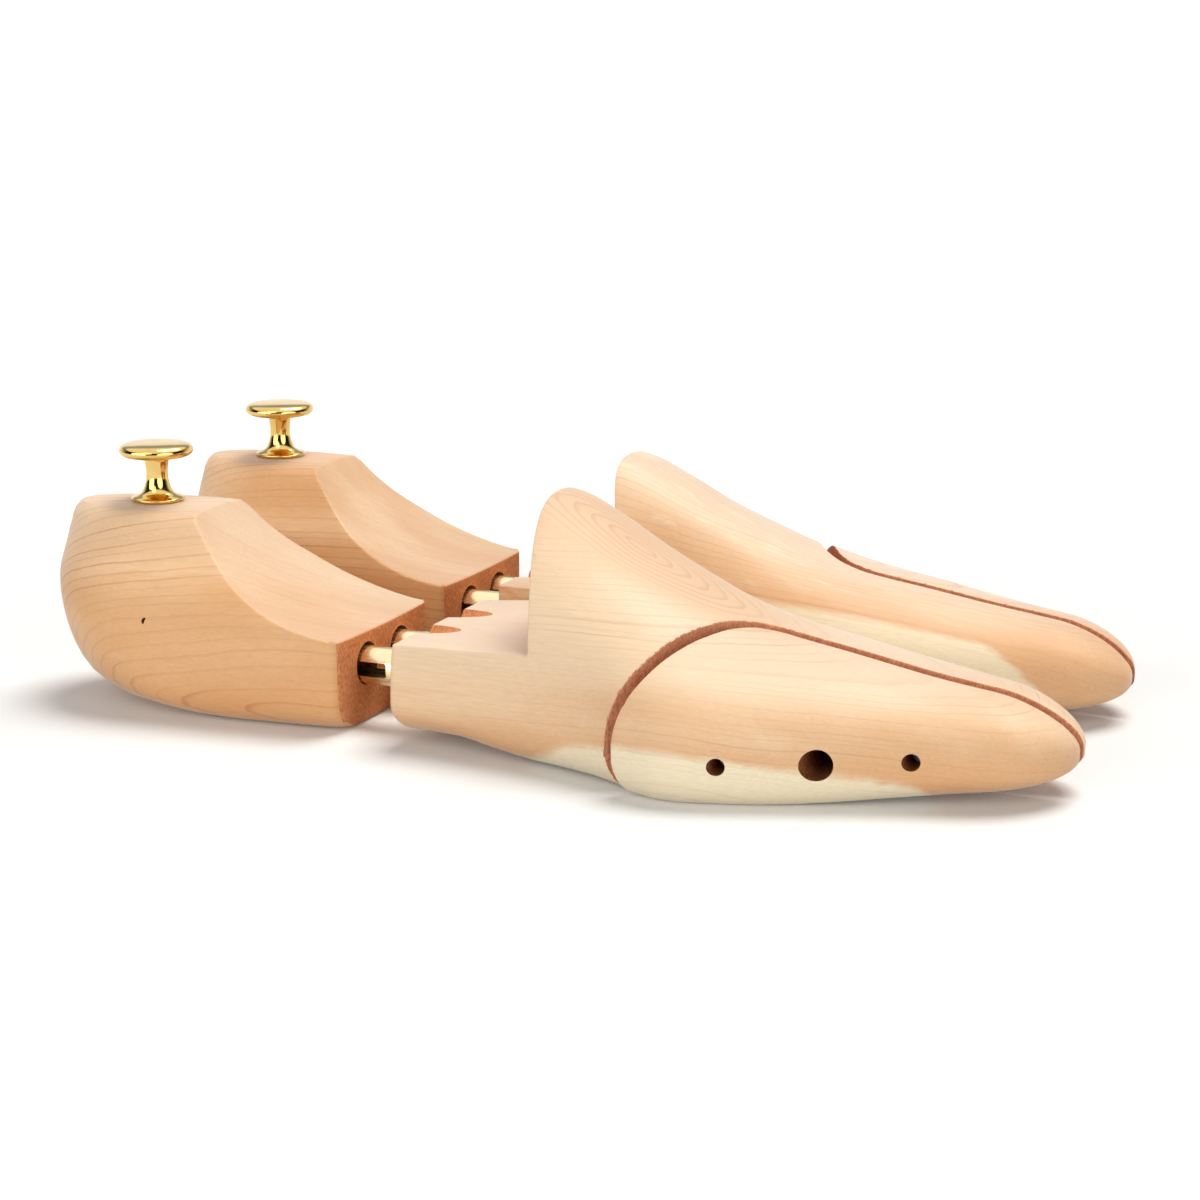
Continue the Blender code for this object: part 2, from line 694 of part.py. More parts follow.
def make_forepart(side, hand, slider):
    """Forepart: the full form less its shelf, wall, grooves, tube bores, saw cut and pin holes."""
    forepart = add_piece(f"{side}_forepart", loft("forepart", forepart_rings(), hand), slider, CEDAR_FOREPART)
    forepart.location = -slider.location
    wide = BALL_OUTER_REACH + 2 * BEYOND

    def remove(name, mesh):
        cutter = add_cutter(f"{side}_{name}", mesh, slider)
        cutter.location = -slider.location
        cut(forepart, cutter)

    foot = SHELF_HEIGHT + SHELF_RISE
    summit = INSTEP_HEIGHT + BEYOND
    slope = SHELF_RISE / SHELF_LENGTH
    outline = [(REST_OPENING - BEYOND, 0, SHELF_HEIGHT - BEYOND * slope)]
    wall_steps = 8
    for i in range(wall_steps + 1):
        t = i / wall_steps * (summit - foot) / (INSTEP_HEIGHT - foot)
        x = SHELF_END - WALL_LEAN * t + WALL_HOLLOW * 4 * t * (1 - t)
        outline.append((x, 0, foot + (INSTEP_HEIGHT - foot) * t))
    outline.append((REST_OPENING - BEYOND, 0, summit))
    remove("shelf_cut", slab("shelf_cut", outline, (0, -wide, 0), (0, wide, 0)))

    for name, across in (("outer", -TUBE_SPACING / 2), ("inner", TUBE_SPACING / 2)):
        bore = rod(
            "bore",
            (REST_OPENING - BEYOND, across, TUBE_HEIGHT),
            (TUBE_FRONT + FIT_CLEARANCE, across, TUBE_HEIGHT),
            TUBE_DIAMETER + 2 * FIT_CLEARANCE,
            24,
            hand,
        )
        remove(f"{name}_bore_cut", bore)
        level = SHELF_HEIGHT - GROOVE_DEPTH + GROOVE_RADIUS
        run = Vector((cos(GROOVE_SLOPE), 0, sin(GROOVE_SLOPE)))
        middle = Vector((REST_OPENING, across, level))
        groove = rod(
            "groove", middle - run * BEYOND, middle + run * 2 * BEYOND, 2 * GROOVE_RADIUS, 24, hand
        )
        remove(f"{name}_groove_cut", groove)

    outline = [(x, y * hand, 0) for x, y in kerf_outline(KERF_WIDTH / 2, 0, wide)]
    remove("kerf_cut", slab("kerf_cut", outline, (0, 0, -BEYOND), (0, 0, INSTEP_HEIGHT + BEYOND)))

    for name, x, z in guide_places():
        hole = rod(
            "guide_hole",
            (x, -wide, z),
            (x, GUIDE_PIN_REACH + FIT_CLEARANCE, z),
            GUIDE_PIN_DIAMETER + 2 * FIT_CLEARANCE,
            12,
            hand,
        )
        remove(f"{name}_guide_cut", hole)

    x, z = TOE - TOE_SCREW_FROM_TOE, TOE_SCREW_HEIGHT
    face = kerf_centre(x) + KERF_WIDTH / 2
    floor = face + TOE_SPRING_POCKET
    remove("pocket_cut", rod(
        "pocket", (x, -wide, z), (x, floor, z), TOE_SPRING_DIAMETER + 5 * FIT_CLEARANCE, 20, hand
    ))
    remove("screw_cut", rod(
        "screw_hole",
        (x, face, z),
        (x, floor + TOE_SCREW_BITE + FIT_CLEARANCE, z),
        TOE_SCREW_DIAMETER + 2 * FIT_CLEARANCE,
        12,
        hand,
    ))


def guide_places():
    """Name, place along the tree and height of the two guide pins."""
    return (
        ("rear", TOE - REAR_GUIDE_FROM_TOE, REAR_GUIDE_HEIGHT),
        ("front", TOE - FRONT_GUIDE_FROM_TOE, FRONT_GUIDE_HEIGHT),
    )


def make_side_piece(side, hand, spreader):
    """Side piece: what the saw cut parts from the full form, sprung outward by the spread."""
    piece = add_piece(f"{side}_side_piece", loft("side_piece", forepart_rings(), hand), spreader, CEDAR_SIDE)
    home = -spreader.location - spreader.parent.location + Vector((0, -SIDE_SPREAD * hand, 0))
    piece.location = home
    wide = BALL_OUTER_REACH + 2 * BEYOND
    outline = [(x, y * hand, 0) for x, y in kerf_outline(-KERF_WIDTH / 2, 1, wide)]
    blank = add_cutter(
        f"{side}_side_blank",
        slab("side_blank", outline, (0, 0, -BEYOND), (0, 0, INSTEP_HEIGHT + BEYOND)),
        spreader,
    )
    blank.location = home
    cut(piece, blank, "INTERSECT")

    def remove(name, x, z, deepest, diameter, sides):
        hole = rod(name, (x, -wide, z), (x, deepest, z), diameter, sides, hand)
        cutter = add_cutter(f"{side}_{name}", hole, spreader)
        cutter.location = home
        cut(piece, cutter)

    for name, x, z in guide_places():
        remove(f"{name}_guide_passage", x, z, BEYOND, GUIDE_PIN_DIAMETER + 2 * FIT_CLEARANCE, 16)
    x, z = TOE - TOE_SCREW_FROM_TOE, TOE_SCREW_HEIGHT
    web = kerf_centre(x) - KERF_WIDTH / 2 - SCREW_WEB
    remove("counterbore", x, z, web, COUNTERBORE_DIAMETER, 20)
    remove("screw_passage", x, z, BEYOND, TOE_SCREW_DIAMETER + 2 * FIT_CLEARANCE, 12)


def make_toe_metal(side, hand, slider):
    """Guide pins, the screw that keeps the side piece on, and the spring round it."""
    for name, x, z in guide_places():
        pin = rod(
            "guide_pin",
            (x, -outer_reach(x) - SIDE_SPREAD + GUIDE_PIN_RECESS, z),
            (x, GUIDE_PIN_REACH, z),
            GUIDE_PIN_DIAMETER,
            12,
            hand,
        )
        add_piece(f"{side}_{name}_guide_pin", pin, slider, STEEL_PIN).location = -slider.location

    x, z = TOE - TOE_SCREW_FROM_TOE, TOE_SCREW_HEIGHT
    inner_face = kerf_centre(x) - KERF_WIDTH / 2 - SIDE_SPREAD
    pocket_floor = kerf_centre(x) + KERF_WIDTH / 2 + TOE_SPRING_POCKET
    head_seat = inner_face - SCREW_WEB - FIT_CLEARANCE
    length = pocket_floor + TOE_SCREW_BITE - head_seat
    shank = TOE_SCREW_DIAMETER / 2
    head = TOE_SCREW_HEAD_DIAMETER / 2
    socket = shank * 0.8
    profile = (
        (0.0, TOE_SCREW_HEAD_HEIGHT * 0.4),
        (socket, TOE_SCREW_HEAD_HEIGHT * 0.4),
        (socket, TOE_SCREW_HEAD_HEIGHT),
        (head * 0.86, TOE_SCREW_HEAD_HEIGHT),
        (head, TOE_SCREW_HEAD_HEIGHT * 0.75),
        (head, 0.0),
        (shank, 0.0),
        (shank, -length + TOE_SCREW_DIAMETER * 0.75),
        (0.0, -length),
    )
    mesh, spin = turned("toe_screw", profile, 12)
    screw = add_piece(f"{side}_toe_screw", mesh, slider, ZINC_SCREW)
    screw.location = Vector((x, head_seat * hand, z)) - slider.location
    screw.rotation_euler = (pi / 2 * hand, 0, 0)
    spin(screw)

    spring = pipe(
        "toe_spring",
        (x, inner_face + FIT_CLEARANCE, z),
        (x, pocket_floor - FIT_CLEARANCE, z),
        TOE_SPRING_DIAMETER,
        TOE_SPRING_BORE,
        16,
        hand,
    )
    add_piece(f"{side}_toe_spring", spring, slider, SPRING_STEEL).location = -slider.location


def make_tree(side, hand):
    """One complete tree; hand is 1 for the right foot and -1 for its mirror image."""
    setback = LEFT_SETBACK if side == "left" else 0.0
    middle = (TOE - HEEL_LENGTH - LEFT_SETBACK) / 2
    root = empty(f"{side}_tree", None, (-middle - setback, -hand * TREE_SPACING / 2, 0))
    slider = empty(f"{side}_tube_slide", root, (0, 0, TUBE_HEIGHT))
    screw_place = Vector((TOE - TOE_SCREW_FROM_TOE, 0, TOE_SCREW_HEIGHT - TUBE_HEIGHT))
    spreader = empty(f"{side}_toe_spread", slider, screw_place)
    make_heel(side, hand, root)
    make_knob(side, hand, root)
    make_heel_metal(side, hand, root)
    make_tubes(side, hand, slider)
    make_forepart(side, hand, slider)
    make_side_piece(side, hand, spreader)
    make_toe_metal(side, hand, slider)


make_tree("right", 1)
make_tree("left", -1)
bpy.context.view_layer.update()
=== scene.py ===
"""A pair of cedar shoe trees with polished brass knobs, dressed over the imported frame.

Units are metres, +Z is up and the toes point along +X. Wooden forms are drawn in the plan of a
tree: x runs forward from the heel block's front face, y from the outer side of the foot to the
inner side, z is the height above the floor. The left tree is the right one mirrored.
"""

from math import cos, hypot, pi, radians, sin, sqrt, tan

import bmesh
import bpy
from mathutils import Matrix, Vector


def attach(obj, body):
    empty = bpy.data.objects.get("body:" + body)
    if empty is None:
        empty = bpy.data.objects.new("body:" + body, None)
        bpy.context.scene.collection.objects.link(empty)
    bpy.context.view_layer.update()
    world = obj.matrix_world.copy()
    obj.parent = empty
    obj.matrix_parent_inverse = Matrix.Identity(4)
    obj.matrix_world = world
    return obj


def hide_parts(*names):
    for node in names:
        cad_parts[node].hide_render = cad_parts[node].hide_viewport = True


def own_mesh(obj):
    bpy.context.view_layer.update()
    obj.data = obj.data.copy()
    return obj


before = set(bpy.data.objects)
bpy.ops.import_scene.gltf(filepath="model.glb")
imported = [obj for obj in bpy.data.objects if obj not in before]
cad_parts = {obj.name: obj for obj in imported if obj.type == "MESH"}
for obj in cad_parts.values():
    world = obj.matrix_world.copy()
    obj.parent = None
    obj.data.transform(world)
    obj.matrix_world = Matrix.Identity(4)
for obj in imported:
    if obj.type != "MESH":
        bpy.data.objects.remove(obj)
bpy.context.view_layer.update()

# The pair on the floor
TREE_SPACING = 0.0730
LEFT_SETBACK = 0.0034

# Heel block
HEEL_LENGTH = 0.1002
HEEL_WIDTH = 0.0606
HEEL_HEIGHT = 0.0559
HEEL_CROWN = 0.0008
HEEL_FACE_HEIGHT = 0.0270
HEEL_ROUND_LENGTH = 0.0347
HEEL_TURN = radians(1.6)
HEEL_NARROWING_POWER = 1.5
HEEL_CORNER = 0.0024
HEEL_CORNER_LIMIT = 0.6
SOFTER_BELOW = 0.30
SOFTER_BY = 1.4
HEEL_FOOT = 0.0020
SCOOP_LENGTH = 0.0500
SCOOP_RADIUS = 0.0680
SCOOP_DISH = 0.0011

# Forepart
REST_OPENING = 0.0175
FOREPART_LENGTH = 0.1815
BALL_OUTER_REACH = 0.0490
BALL_INNER_REACH = 0.0346
INSTEP_HEIGHT = 0.0672
TOE_HEIGHT = 0.0230
RIDGE_OFFSET = 0.0070
WIDEST_HEIGHT = 0.0110
WIDEST_LIFT_SHARE = 0.3
SOLE_EDGE_RADIUS = 0.0070
WAIST_LIFT = 0.0045
TOE_LIFT = 0.0050
TOE_LIFT_START = 0.59
NOSE_LENGTH = 0.0220
NOSE_LEVEL = 0.0125
NOSE_SOLE_POWER = 0.6
NOSE_LAST_ANGLE = radians(88.5)
REAR_FOOT = 0.0038
REAR_CORNER = 0.0010

# Shelf, leaning wall and the two grooves over the tubes
SHELF_LENGTH = 0.0417
SHELF_HEIGHT = 0.0282
SHELF_RISE = 0.0022
WALL_LEAN = 0.0085
WALL_HOLLOW = 0.0011
GROOVE_RADIUS = 0.0060
GROOVE_DEPTH = 0.0032
GROOVE_SLOPE = radians(20)

# Tubes, their bores, the pin across them and the springs behind them
TUBE_DIAMETER = 0.0108
TUBE_WALL = 0.0007
TUBE_EDGE = 0.00012
TUBE_SPACING = 0.0200
TUBE_HEIGHT = 0.0164
TUBE_GRIP = 0.0425
TUBE_REACH_IN_HEEL = 0.0500
SLOT_HEIGHT = 0.0042
SLOT_SHOWN = 0.0085
SLOT_CORNER_SHARE = 0.15
HEEL_BORE_DIAMETER = 0.0122
# 3.8 mm less than in the solid, so that the bore stays inside the tapering heel
HEEL_BORE_DEPTH = 0.0845
FIT_CLEARANCE = 0.0003
PIN_DIAMETER = 0.0024
PIN_SETBACK = 0.0240
PIN_REACH = 0.0190
SPRING_DIAMETER = 0.0106
SPRING_WIRE = 0.0012
SPRING_TURNS = 11
BRAD_SETBACK = 0.0587
BRAD_HEIGHT = 0.0281
BRAD_DEPTH = 0.0030

# Knob and the hole for its screw
KNOB_DIAMETER = 0.0211
KNOB_HEIGHT = 0.0168
KNOB_CROWN = 0.0009
KNOB_RIM = 0.0033
KNOB_NECK_DIAMETER = 0.0061
KNOB_FLANGE_DIAMETER = 0.0152
KNOB_SETBACK = 0.0710
KNOB_SCREW_DIAMETER = 0.0036
KNOB_SCREW_IN_WOOD = 0.0240
KNOB_SCREW_IN_KNOB = 0.0070

# Split side piece and its holes
KERF_WIDTH = 0.0012
KERF_REAR_EASE = 0.0019
EASE_END = 0.46
FIT_START = 0.55
SIDE_SPREAD = 0.0025
GUIDE_PIN_DIAMETER = 0.0039
GUIDE_PIN_REACH = 0.0120
REAR_GUIDE = (0.0815, 0.0113)
FRONT_GUIDE = (0.0363, 0.0130)
TOE_SCREW_FROM_TOE = 0.0582
TOE_SCREW_HEIGHT = 0.0120
TOE_SCREW_DIAMETER = 0.0040
TOE_SCREW_BITE = 0.0100
COUNTERBORE_DIAMETER = 0.0081
SCREW_WEB = 0.0060
TOE_SPRING_POCKET = 0.0120
TOE_SPRING_DIAMETER = 0.0080
TOE_SPRING_WIRE = 0.0010
TOE_SPRING_TURNS = 7

# Sanding of the edges that the large cuts leave, and where the wood shows its end grain
HEEL_SANDING = 0.0006
FOREPART_SANDING = 0.0005
CRISP_EDGE = radians(34)
TOE_TIP = 0.002
END_GRAIN_FACING = 0.80
END_GRAIN_REACH = 0.0030
WALL_GRAIN_START = 0.0006

# How far the cutting tools reach past the wood
BEYOND = 0.0100

# Points of a mesh that are closer than this are one, with a wider reach along cuts to be sanded
MERGE_DISTANCE = 0.000002
CUT_MERGE_DISTANCE = 0.00025
SLIVER = 0.00002

# Share of the height, then shares of the half width and the length, then the narrowing ahead
HEEL_LEVELS = (
    (0.00, 0.66, 0.65, 0.09),
    (0.03, 0.84, 0.71, 0.09),
    (0.08, 0.935, 0.82, 0.09),
    (0.17, 0.98, 0.905, 0.09),
    (0.30, 0.995, 0.955, 0.09),
    (0.47, 1.00, 0.985, 0.09),
    (0.65, 0.90, 1.00, 0.25),
    (0.78, 0.72, 0.99, 0.45),
    (0.875, 0.60, 0.98, 0.62),
    (1 - HEEL_CROWN / HEEL_HEIGHT, 0.45, 0.95, 0.85),
    (1.00, 0.20, 0.86, 0.85),
)

# Share of the length, then shares of the outer and inner reach, of the ridge's rise and of its
# offset to the inner side, then the fullness of the outer and the inner flank
FOREPART_STATIONS = (
    (0.00, 0.63, 0.80, 0.86, 0.65, 2.05, 2.8),
    (0.10, 0.66, 0.90, 0.97, 0.73, 2.05, 2.9),
    (0.16, 0.69, 0.95, 1.00, 0.78, 2.05, 2.9),
    (0.20, 0.71, 0.98, 0.975, 0.82, 2.05, 2.9),
    (0.26, 0.76, 0.98, 0.86, 0.90, 2.05, 2.8),
    (0.33, 0.83, 0.98, 0.695, 0.96, 2.05, 2.55),
    (0.41, 0.945, 1.00, 0.53, 0.98, 2.05, 2.25),
    (0.475, 1.00, 1.00, 0.405, 0.93, 2.1, 2.2),
    (0.565, 0.925, 0.99, 0.295, 0.71, 2.2, 2.2),
    (0.675, 0.77, 0.90, 0.215, 0.44, 2.35, 2.2),
    (0.785, 0.61, 0.76, 0.135, 0.20, 2.45, 2.3),
    (0.895, 0.48, 0.58, 0.07, 0.00, 2.55, 2.4),
    (1.00, 0.41, 0.47, 0.00, -0.16, 2.6, 2.4),
)

# Plan of the saw cut: shares of the forepart's length and of the outer reach
KERF_PLAN = (
    (0.32, -1.10),
    (0.36, -0.95),
    (0.39, -0.86),
    (0.415, -0.76),
    (0.44, -0.60),
    (0.465, -0.40),
    (0.495, -0.195),
    (0.53, -0.07),
    (0.575, -0.022),
    (0.64, -0.03),
    (0.73, -0.045),
    (0.84, -0.062),
    (0.93, -0.055),
    (1.00, -0.03),
)

# Share of the forepart's length, then the share of the waist's lift that the sole has there
WAIST_ARCH = (
    (0.00, 1.00),
    (0.10, 0.95),
    (0.16, 0.60),
    (0.22, 0.30),
    (0.34, 0.20),
    (0.45, 0.00),
)

# The photo's camera, and the floor just under the pair
CAMERA_PLACE = (0.28917, -0.67766, 0.20421)
CAMERA_TILT = radians(76.62)
CAMERA_TURN = radians(22.91)
FOCAL_LENGTH = 79.6
SENSOR_WIDTH = 36
FLOOR_REACH = 6
FLOOR_DROP = 0.00005

# Places in a tree's plan, then the middle of the pair and each tree's hand and place
TOE = REST_OPENING + FOREPART_LENGTH
SHELF_END = REST_OPENING + SHELF_LENGTH
TUBE_FRONT = REST_OPENING + TUBE_GRIP
TUBE_BACK = -TUBE_REACH_IN_HEEL
BORE_RISE = (HEEL_BORE_DIAMETER - TUBE_DIAMETER) / 2 - FIT_CLEARANCE
TUBES = (("outer", -TUBE_SPACING / 2), ("inner", TUBE_SPACING / 2))
MIDDLE = (TOE - HEEL_LENGTH - LEFT_SETBACK) / 2
TREES = {
    "right": (1, Vector((-MIDDLE, -TREE_SPACING / 2, 0))),
    "left": (-1, Vector((-MIDDLE - LEFT_SETBACK, TREE_SPACING / 2, 0))),
}


def between(table, column, where):
    """Smooth, unwavering curve through one column of a table whose first column is the place."""
    places = [row[0] for row in table]
    values = [row[column] for row in table]
    if where <= places[0]:
        return values[0]
    if where >= places[-1]:
        return values[-1]
    gaps = [b - a for a, b in zip(places, places[1:])]
    rises = [(b - a) / gap for a, b, gap in zip(values, values[1:], gaps)]
    slopes = [rises[0]]
    for i in range(1, len(rises)):
        if rises[i - 1] * rises[i] <= 0:
            slopes.append(0.0)
            continue
        near = 2 * gaps[i] + gaps[i - 1]
        far = gaps[i] + 2 * gaps[i - 1]
        slopes.append((near + far) / (near / rises[i - 1] + far / rises[i]))
    slopes.append(rises[-1])
    i = max(k for k in range(len(gaps)) if places[k] <= where)
    t = (where - places[i]) / gaps[i]
    return (
        (2 * t**3 - 3 * t * t + 1) * values[i]
        + (t**3 - 2 * t * t + t) * gaps[i] * slopes[i]
        + (3 * t * t - 2 * t**3) * values[i + 1]
        + (t**3 - t * t) * gaps[i] * slopes[i + 1]
    )


def quarter_round(near, radius):
    """How far a rounded edge has drawn back at the distance near from the face that it meets."""
    t = max(0.0, 1 - near / radius)
    return radius * (1 - sqrt(1 - t * t))


def sole_height(share):
    """How far the sole is off the floor: it arches at the waist and lifts at the toe."""
    t = max(0.0, (share - TOE_LIFT_START) / (1 - TOE_LIFT_START))
    return WAIST_LIFT * between(WAIST_ARCH, 1, share) + TOE_LIFT * t * t * (3 - 2 * t)


def forepart_ring(x, arch_steps=26, edge_steps=7, sole_steps=10):
    """Closed section of the uncut forepart at x, from the ridge down the outer side and back up."""
    share = (x - REST_OPENING) / FOREPART_LENGTH
    nose = sqrt(max(0.0, 1 - max(0.0, (x - TOE + NOSE_LENGTH) / NOSE_LENGTH) ** 2))
    outer = BALL_OUTER_REACH * between(FOREPART_STATIONS, 1, share) * nose
    inner = BALL_INNER_REACH * between(FOREPART_STATIONS, 2, share) * nose
    rise = TOE_HEIGHT + (INSTEP_HEIGHT - TOE_HEIGHT) * between(FOREPART_STATIONS, 3, share)
    top = NOSE_LEVEL + (rise - NOSE_LEVEL) * nose
    ridge = RIDGE_OFFSET * between(FOREPART_STATIONS, 4, share) * nose
    sole = sole_height(share)
    widest = NOSE_LEVEL + (WIDEST_HEIGHT + WIDEST_LIFT_SHARE * sole - NOSE_LEVEL) * nose
    bottom = NOSE_LEVEL - (NOSE_LEVEL - sole) * nose**NOSE_SOLE_POWER
    bottom += quarter_round(x - REST_OPENING, REAR_FOOT)
    edge = SOLE_EDGE_RADIUS * nose
    outer -= quarter_round(x - REST_OPENING, REAR_CORNER)
    inner -= quarter_round(x - REST_OPENING, REAR_CORNER)

    def flank(reach, towards, power):
        points = []
        for i in range(arch_steps + 1):
            a = pi / 2 * (1 - i / arch_steps)
            across = (reach - towards * ridge) * max(0.0, cos(a)) ** power
            points.append((ridge + towards * across, widest + (top - widest) * sin(a) ** power))
        for i in range(1, edge_steps + 1):
            a = pi / 2 * i / edge_steps
            across = towards * (reach - edge + edge * cos(a))
            points.append((across, widest - (widest - bottom) * sin(a)))
        return points

    outside = flank(outer, -1, 2 / between(FOREPART_STATIONS, 5, share))
    inside = flank(inner, 1, 2 / between(FOREPART_STATIONS, 6, share))
    first, last = outside[-1][0], inside[-1][0]
    under = [(first + (last - first) * i / sole_steps, bottom) for i in range(1, sole_steps)]
    return [Vector((x, y, z)) for y, z in outside + under + inside[:0:-1]]


def forepart_rings(foot_steps=8, body_steps=60, nose_steps=18):
    """Sections from the rear face to the toe, closest together where the form turns most."""
    length = FOREPART_LENGTH - NOSE_LENGTH
    places = [
        REST_OPENING + REAR_FOOT * (1 - cos(pi / 2 * i / foot_steps)) for i in range(foot_steps)
    ]
    places += [
        REST_OPENING + REAR_FOOT + (length - REAR_FOOT) * i / body_steps for i in range(body_steps)
    ]
    places += [
        TOE - NOSE_LENGTH + NOSE_LENGTH * sin(NOSE_LAST_ANGLE * i / nose_steps)
        for i in range(nose_steps + 1)
    ]
    return [forepart_ring(x) for x in places]


def heel_centre(x):
    """Middle line of the heel block in plan: its back lies a little towards the outer side."""
    return x * tan(HEEL_TURN)


def heel_ring(share, corner_steps=5, side_steps=17, back_steps=24):
    """Closed outline of the uncut heel block at a share of its height, front corners softened."""
    half_width = HEEL_WIDTH / 2 * between(HEEL_LEVELS, 1, share)
    round_start = HEEL_LENGTH * between(HEEL_LEVELS, 2, share) - HEEL_ROUND_LENGTH
    narrowing = between(HEEL_LEVELS, 3, share)

    def flank(x):
        return half_width * (1 - narrowing * (1 + x / round_start) ** HEEL_NARROWING_POWER)

    corner = flank(-HEEL_CORNER)
    low = max(0.0, 1 - share / SOFTER_BELOW)
    soft = min(HEEL_CORNER * (1 + SOFTER_BY * low * low), HEEL_CORNER_LIMIT * corner)
    turns = [pi / 2 * i / corner_steps for i in range(corner_steps + 1)]
    side = [(-soft * (1 - cos(a)), corner - soft * (1 - sin(a))) for a in turns]
    for i in range(1, side_steps):
        x = -soft - (round_start - soft) * i / side_steps
        side.append((x, flank(x)))
    for i in range(back_steps + 1):
        a = pi / 2 * i / back_steps
        side.append((-round_start - HEEL_ROUND_LENGTH * sin(a), half_width * cos(a)))
    front = [(0.0, (corner - soft) * k / 4) for k in range(-3, 4)]
    outline = [(x, -y) for x, y in side] + [(x, y) for x, y in side[-2::-1]] + front[::-1]
    z = HEEL_HEIGHT * share
    foot = quarter_round(z, HEEL_FOOT)
    return [Vector((min(x, -foot), y + heel_centre(x), z)) for x, y in outline]


def heel_rings():
    """Outlines from the base to the crown, closest together where the form turns most."""
    brow = 1 - HEEL_CROWN / HEEL_HEIGHT
    shares = [0, 0.002, 0.006, 0.012, 0.02, 0.03, 0.05, 0.08, 0.12, 0.17, 0.23]
    shares += [0.30 + (brow - 0.30) * i / 20 for i in range(21)]
    shares += [brow + (1 - brow) * i / 4 for i in range(1, 5)]
    return [heel_ring(share) for share in shares]


def kerf_centre(x):
    return BALL_OUTER_REACH * between(KERF_PLAN, 1, (x - REST_OPENING) / FOREPART_LENGTH)


def rear_ease(x):
    """How far the side piece's sawn edge stands back from the cut, beyond its close fit."""
    share = (x - REST_OPENING) / FOREPART_LENGTH
    t = min(1.0, max(0.0, (FIT_START - share) / (FIT_START - EASE_END)))
    return KERF_REAR_EASE * t * t * (3 - 2 * t)


def kerf_outline(offset, ease, reach, steps=110):
    """Plan of the region outside the saw cut, its edge offset from the cut's middle and eased."""
    first = KERF_PLAN[0][0]
    nearby = FOREPART_LENGTH / 900
    path = []
    for i in range(steps + 1):
        x = REST_OPENING + FOREPART_LENGTH * (first + (1 - first) * i / steps)
        ahead = kerf_centre(x + nearby) - kerf_centre(x - nearby)
        normal = Vector((-ahead, 2 * nearby)).normalized()
        shift = offset - ease * rear_ease(x)
        path.append((x + normal.x * shift, kerf_centre(x) + normal.y * shift))
    path += [(TOE + BEYOND, path[-1][1]), (TOE + BEYOND, -reach), (path[0][0], -reach)]
    return path


def lofted(name, rings):
    """Closed body through sections of equal point counts: a grid wrapped round and capped."""
    form = bmesh.new()
    along, around = len(rings) - 1, len(rings[0])
    bmesh.ops.create_grid(form, x_segments=along, y_segments=around, size=1)
    for v in form.verts:
        ring = rings[round((v.co.x + 1) / 2 * along)]
        v.co = ring[round((v.co.y + 1) / 2 * around) % around]
    bmesh.ops.remove_doubles(form, verts=form.verts, dist=MERGE_DISTANCE)
    bmesh.ops.holes_fill(form, edges=form.edges, sides=0)
    return finished(name, form)


def finished(name, form):
    bmesh.ops.recalc_face_normals(form, faces=form.faces)
    mesh = bpy.data.meshes.new(name)
    form.to_mesh(mesh)
    form.free()
    return mesh


def slab(name, outline, low, high):
    """Closed outline pushed from the offset low to the offset high."""
    form = bmesh.new()
    base = form.faces.new([form.verts.new(Vector(p) + Vector(low)) for p in outline])
    risen = bmesh.ops.extrude_face_region(form, geom=[base])["geom"]
    corners = [part for part in risen if isinstance(part, bmesh.types.BMVert)]
    bmesh.ops.translate(form, verts=corners, vec=Vector(high) - Vector(low))
    return finished(name, form)


def rod(name, start, end, diameter, sides):
    start, end = Vector(start), Vector(end)
    form = bmesh.new()
    turn = (end - start).to_track_quat("Z", "Y").to_matrix().to_4x4()
    bmesh.ops.create_cone(
        form,
        cap_ends=True,
        segments=sides,
        radius1=diameter / 2,
        radius2=diameter / 2,
        depth=(end - start).length,
        matrix=Matrix.Translation((start + end) / 2) @ turn,
    )
    return finished(name, form)


def drilled(name, start, end, diameter, sides):
    """One cut for cut_away: a round hole whose drilled walls are dark brown, partly bare drilled
    cedar and partly painted shade inside the hole.
    """
    return rod(name, start, end, diameter, sides), BORED_AND_SHADED, "DIFFERENCE"


def cut_away(name, mesh, cuts):
    """Mesh after its cuts, each a tool mesh, the finish that it leaves and how it is combined."""
    piece = bpy.data.objects.new(name, mesh)
    bpy.context.scene.collection.objects.link(piece)
    tools = []
    for tool_mesh, finish, operation in cuts:
        tool_mesh.materials.append(finish)
        tool = bpy.data.objects.new("tool", tool_mesh)
        bpy.context.scene.collection.objects.link(tool)
        tools.append(tool)
        change = piece.modifiers.new("cut", "BOOLEAN")
        change.operation = operation
        change.solver = "EXACT"
        change.material_mode = "TRANSFER"
        change.object = tool
    bpy.context.view_layer.update()
    depsgraph = bpy.context.evaluated_depsgraph_get()
    shaped = bpy.data.meshes.new_from_object(piece.evaluated_get(depsgraph))
    for old in tools + [piece]:
        bpy.data.objects.remove(old)
    return shaped


def sanded(mesh, width):
    """Round the crisp edges that the large cuts leave, as a light sanding does."""
    form = bmesh.new()
    form.from_mesh(mesh)
    bmesh.ops.remove_doubles(form, verts=form.verts, dist=CUT_MERGE_DISTANCE)
    bmesh.ops.dissolve_degenerate(form, edges=form.edges, dist=SLIVER)
    crisp = [
        e for e in form.edges
        if len(e.link_faces) == 2
        and e.calc_face_angle() > CRISP_EDGE
        and e.verts[0].co.x < TOE - TOE_TIP
    ]
    bmesh.ops.bevel(
        form,
        geom=crisp,
        offset=width,
        offset_type="OFFSET",
        segments=3,
        profile=0.5,
        affect="EDGES",
        clamp_overlap=False,
        loop_slide=True,
        material=-1,
    )
    form.to_mesh(mesh)
    form.free()
    return mesh


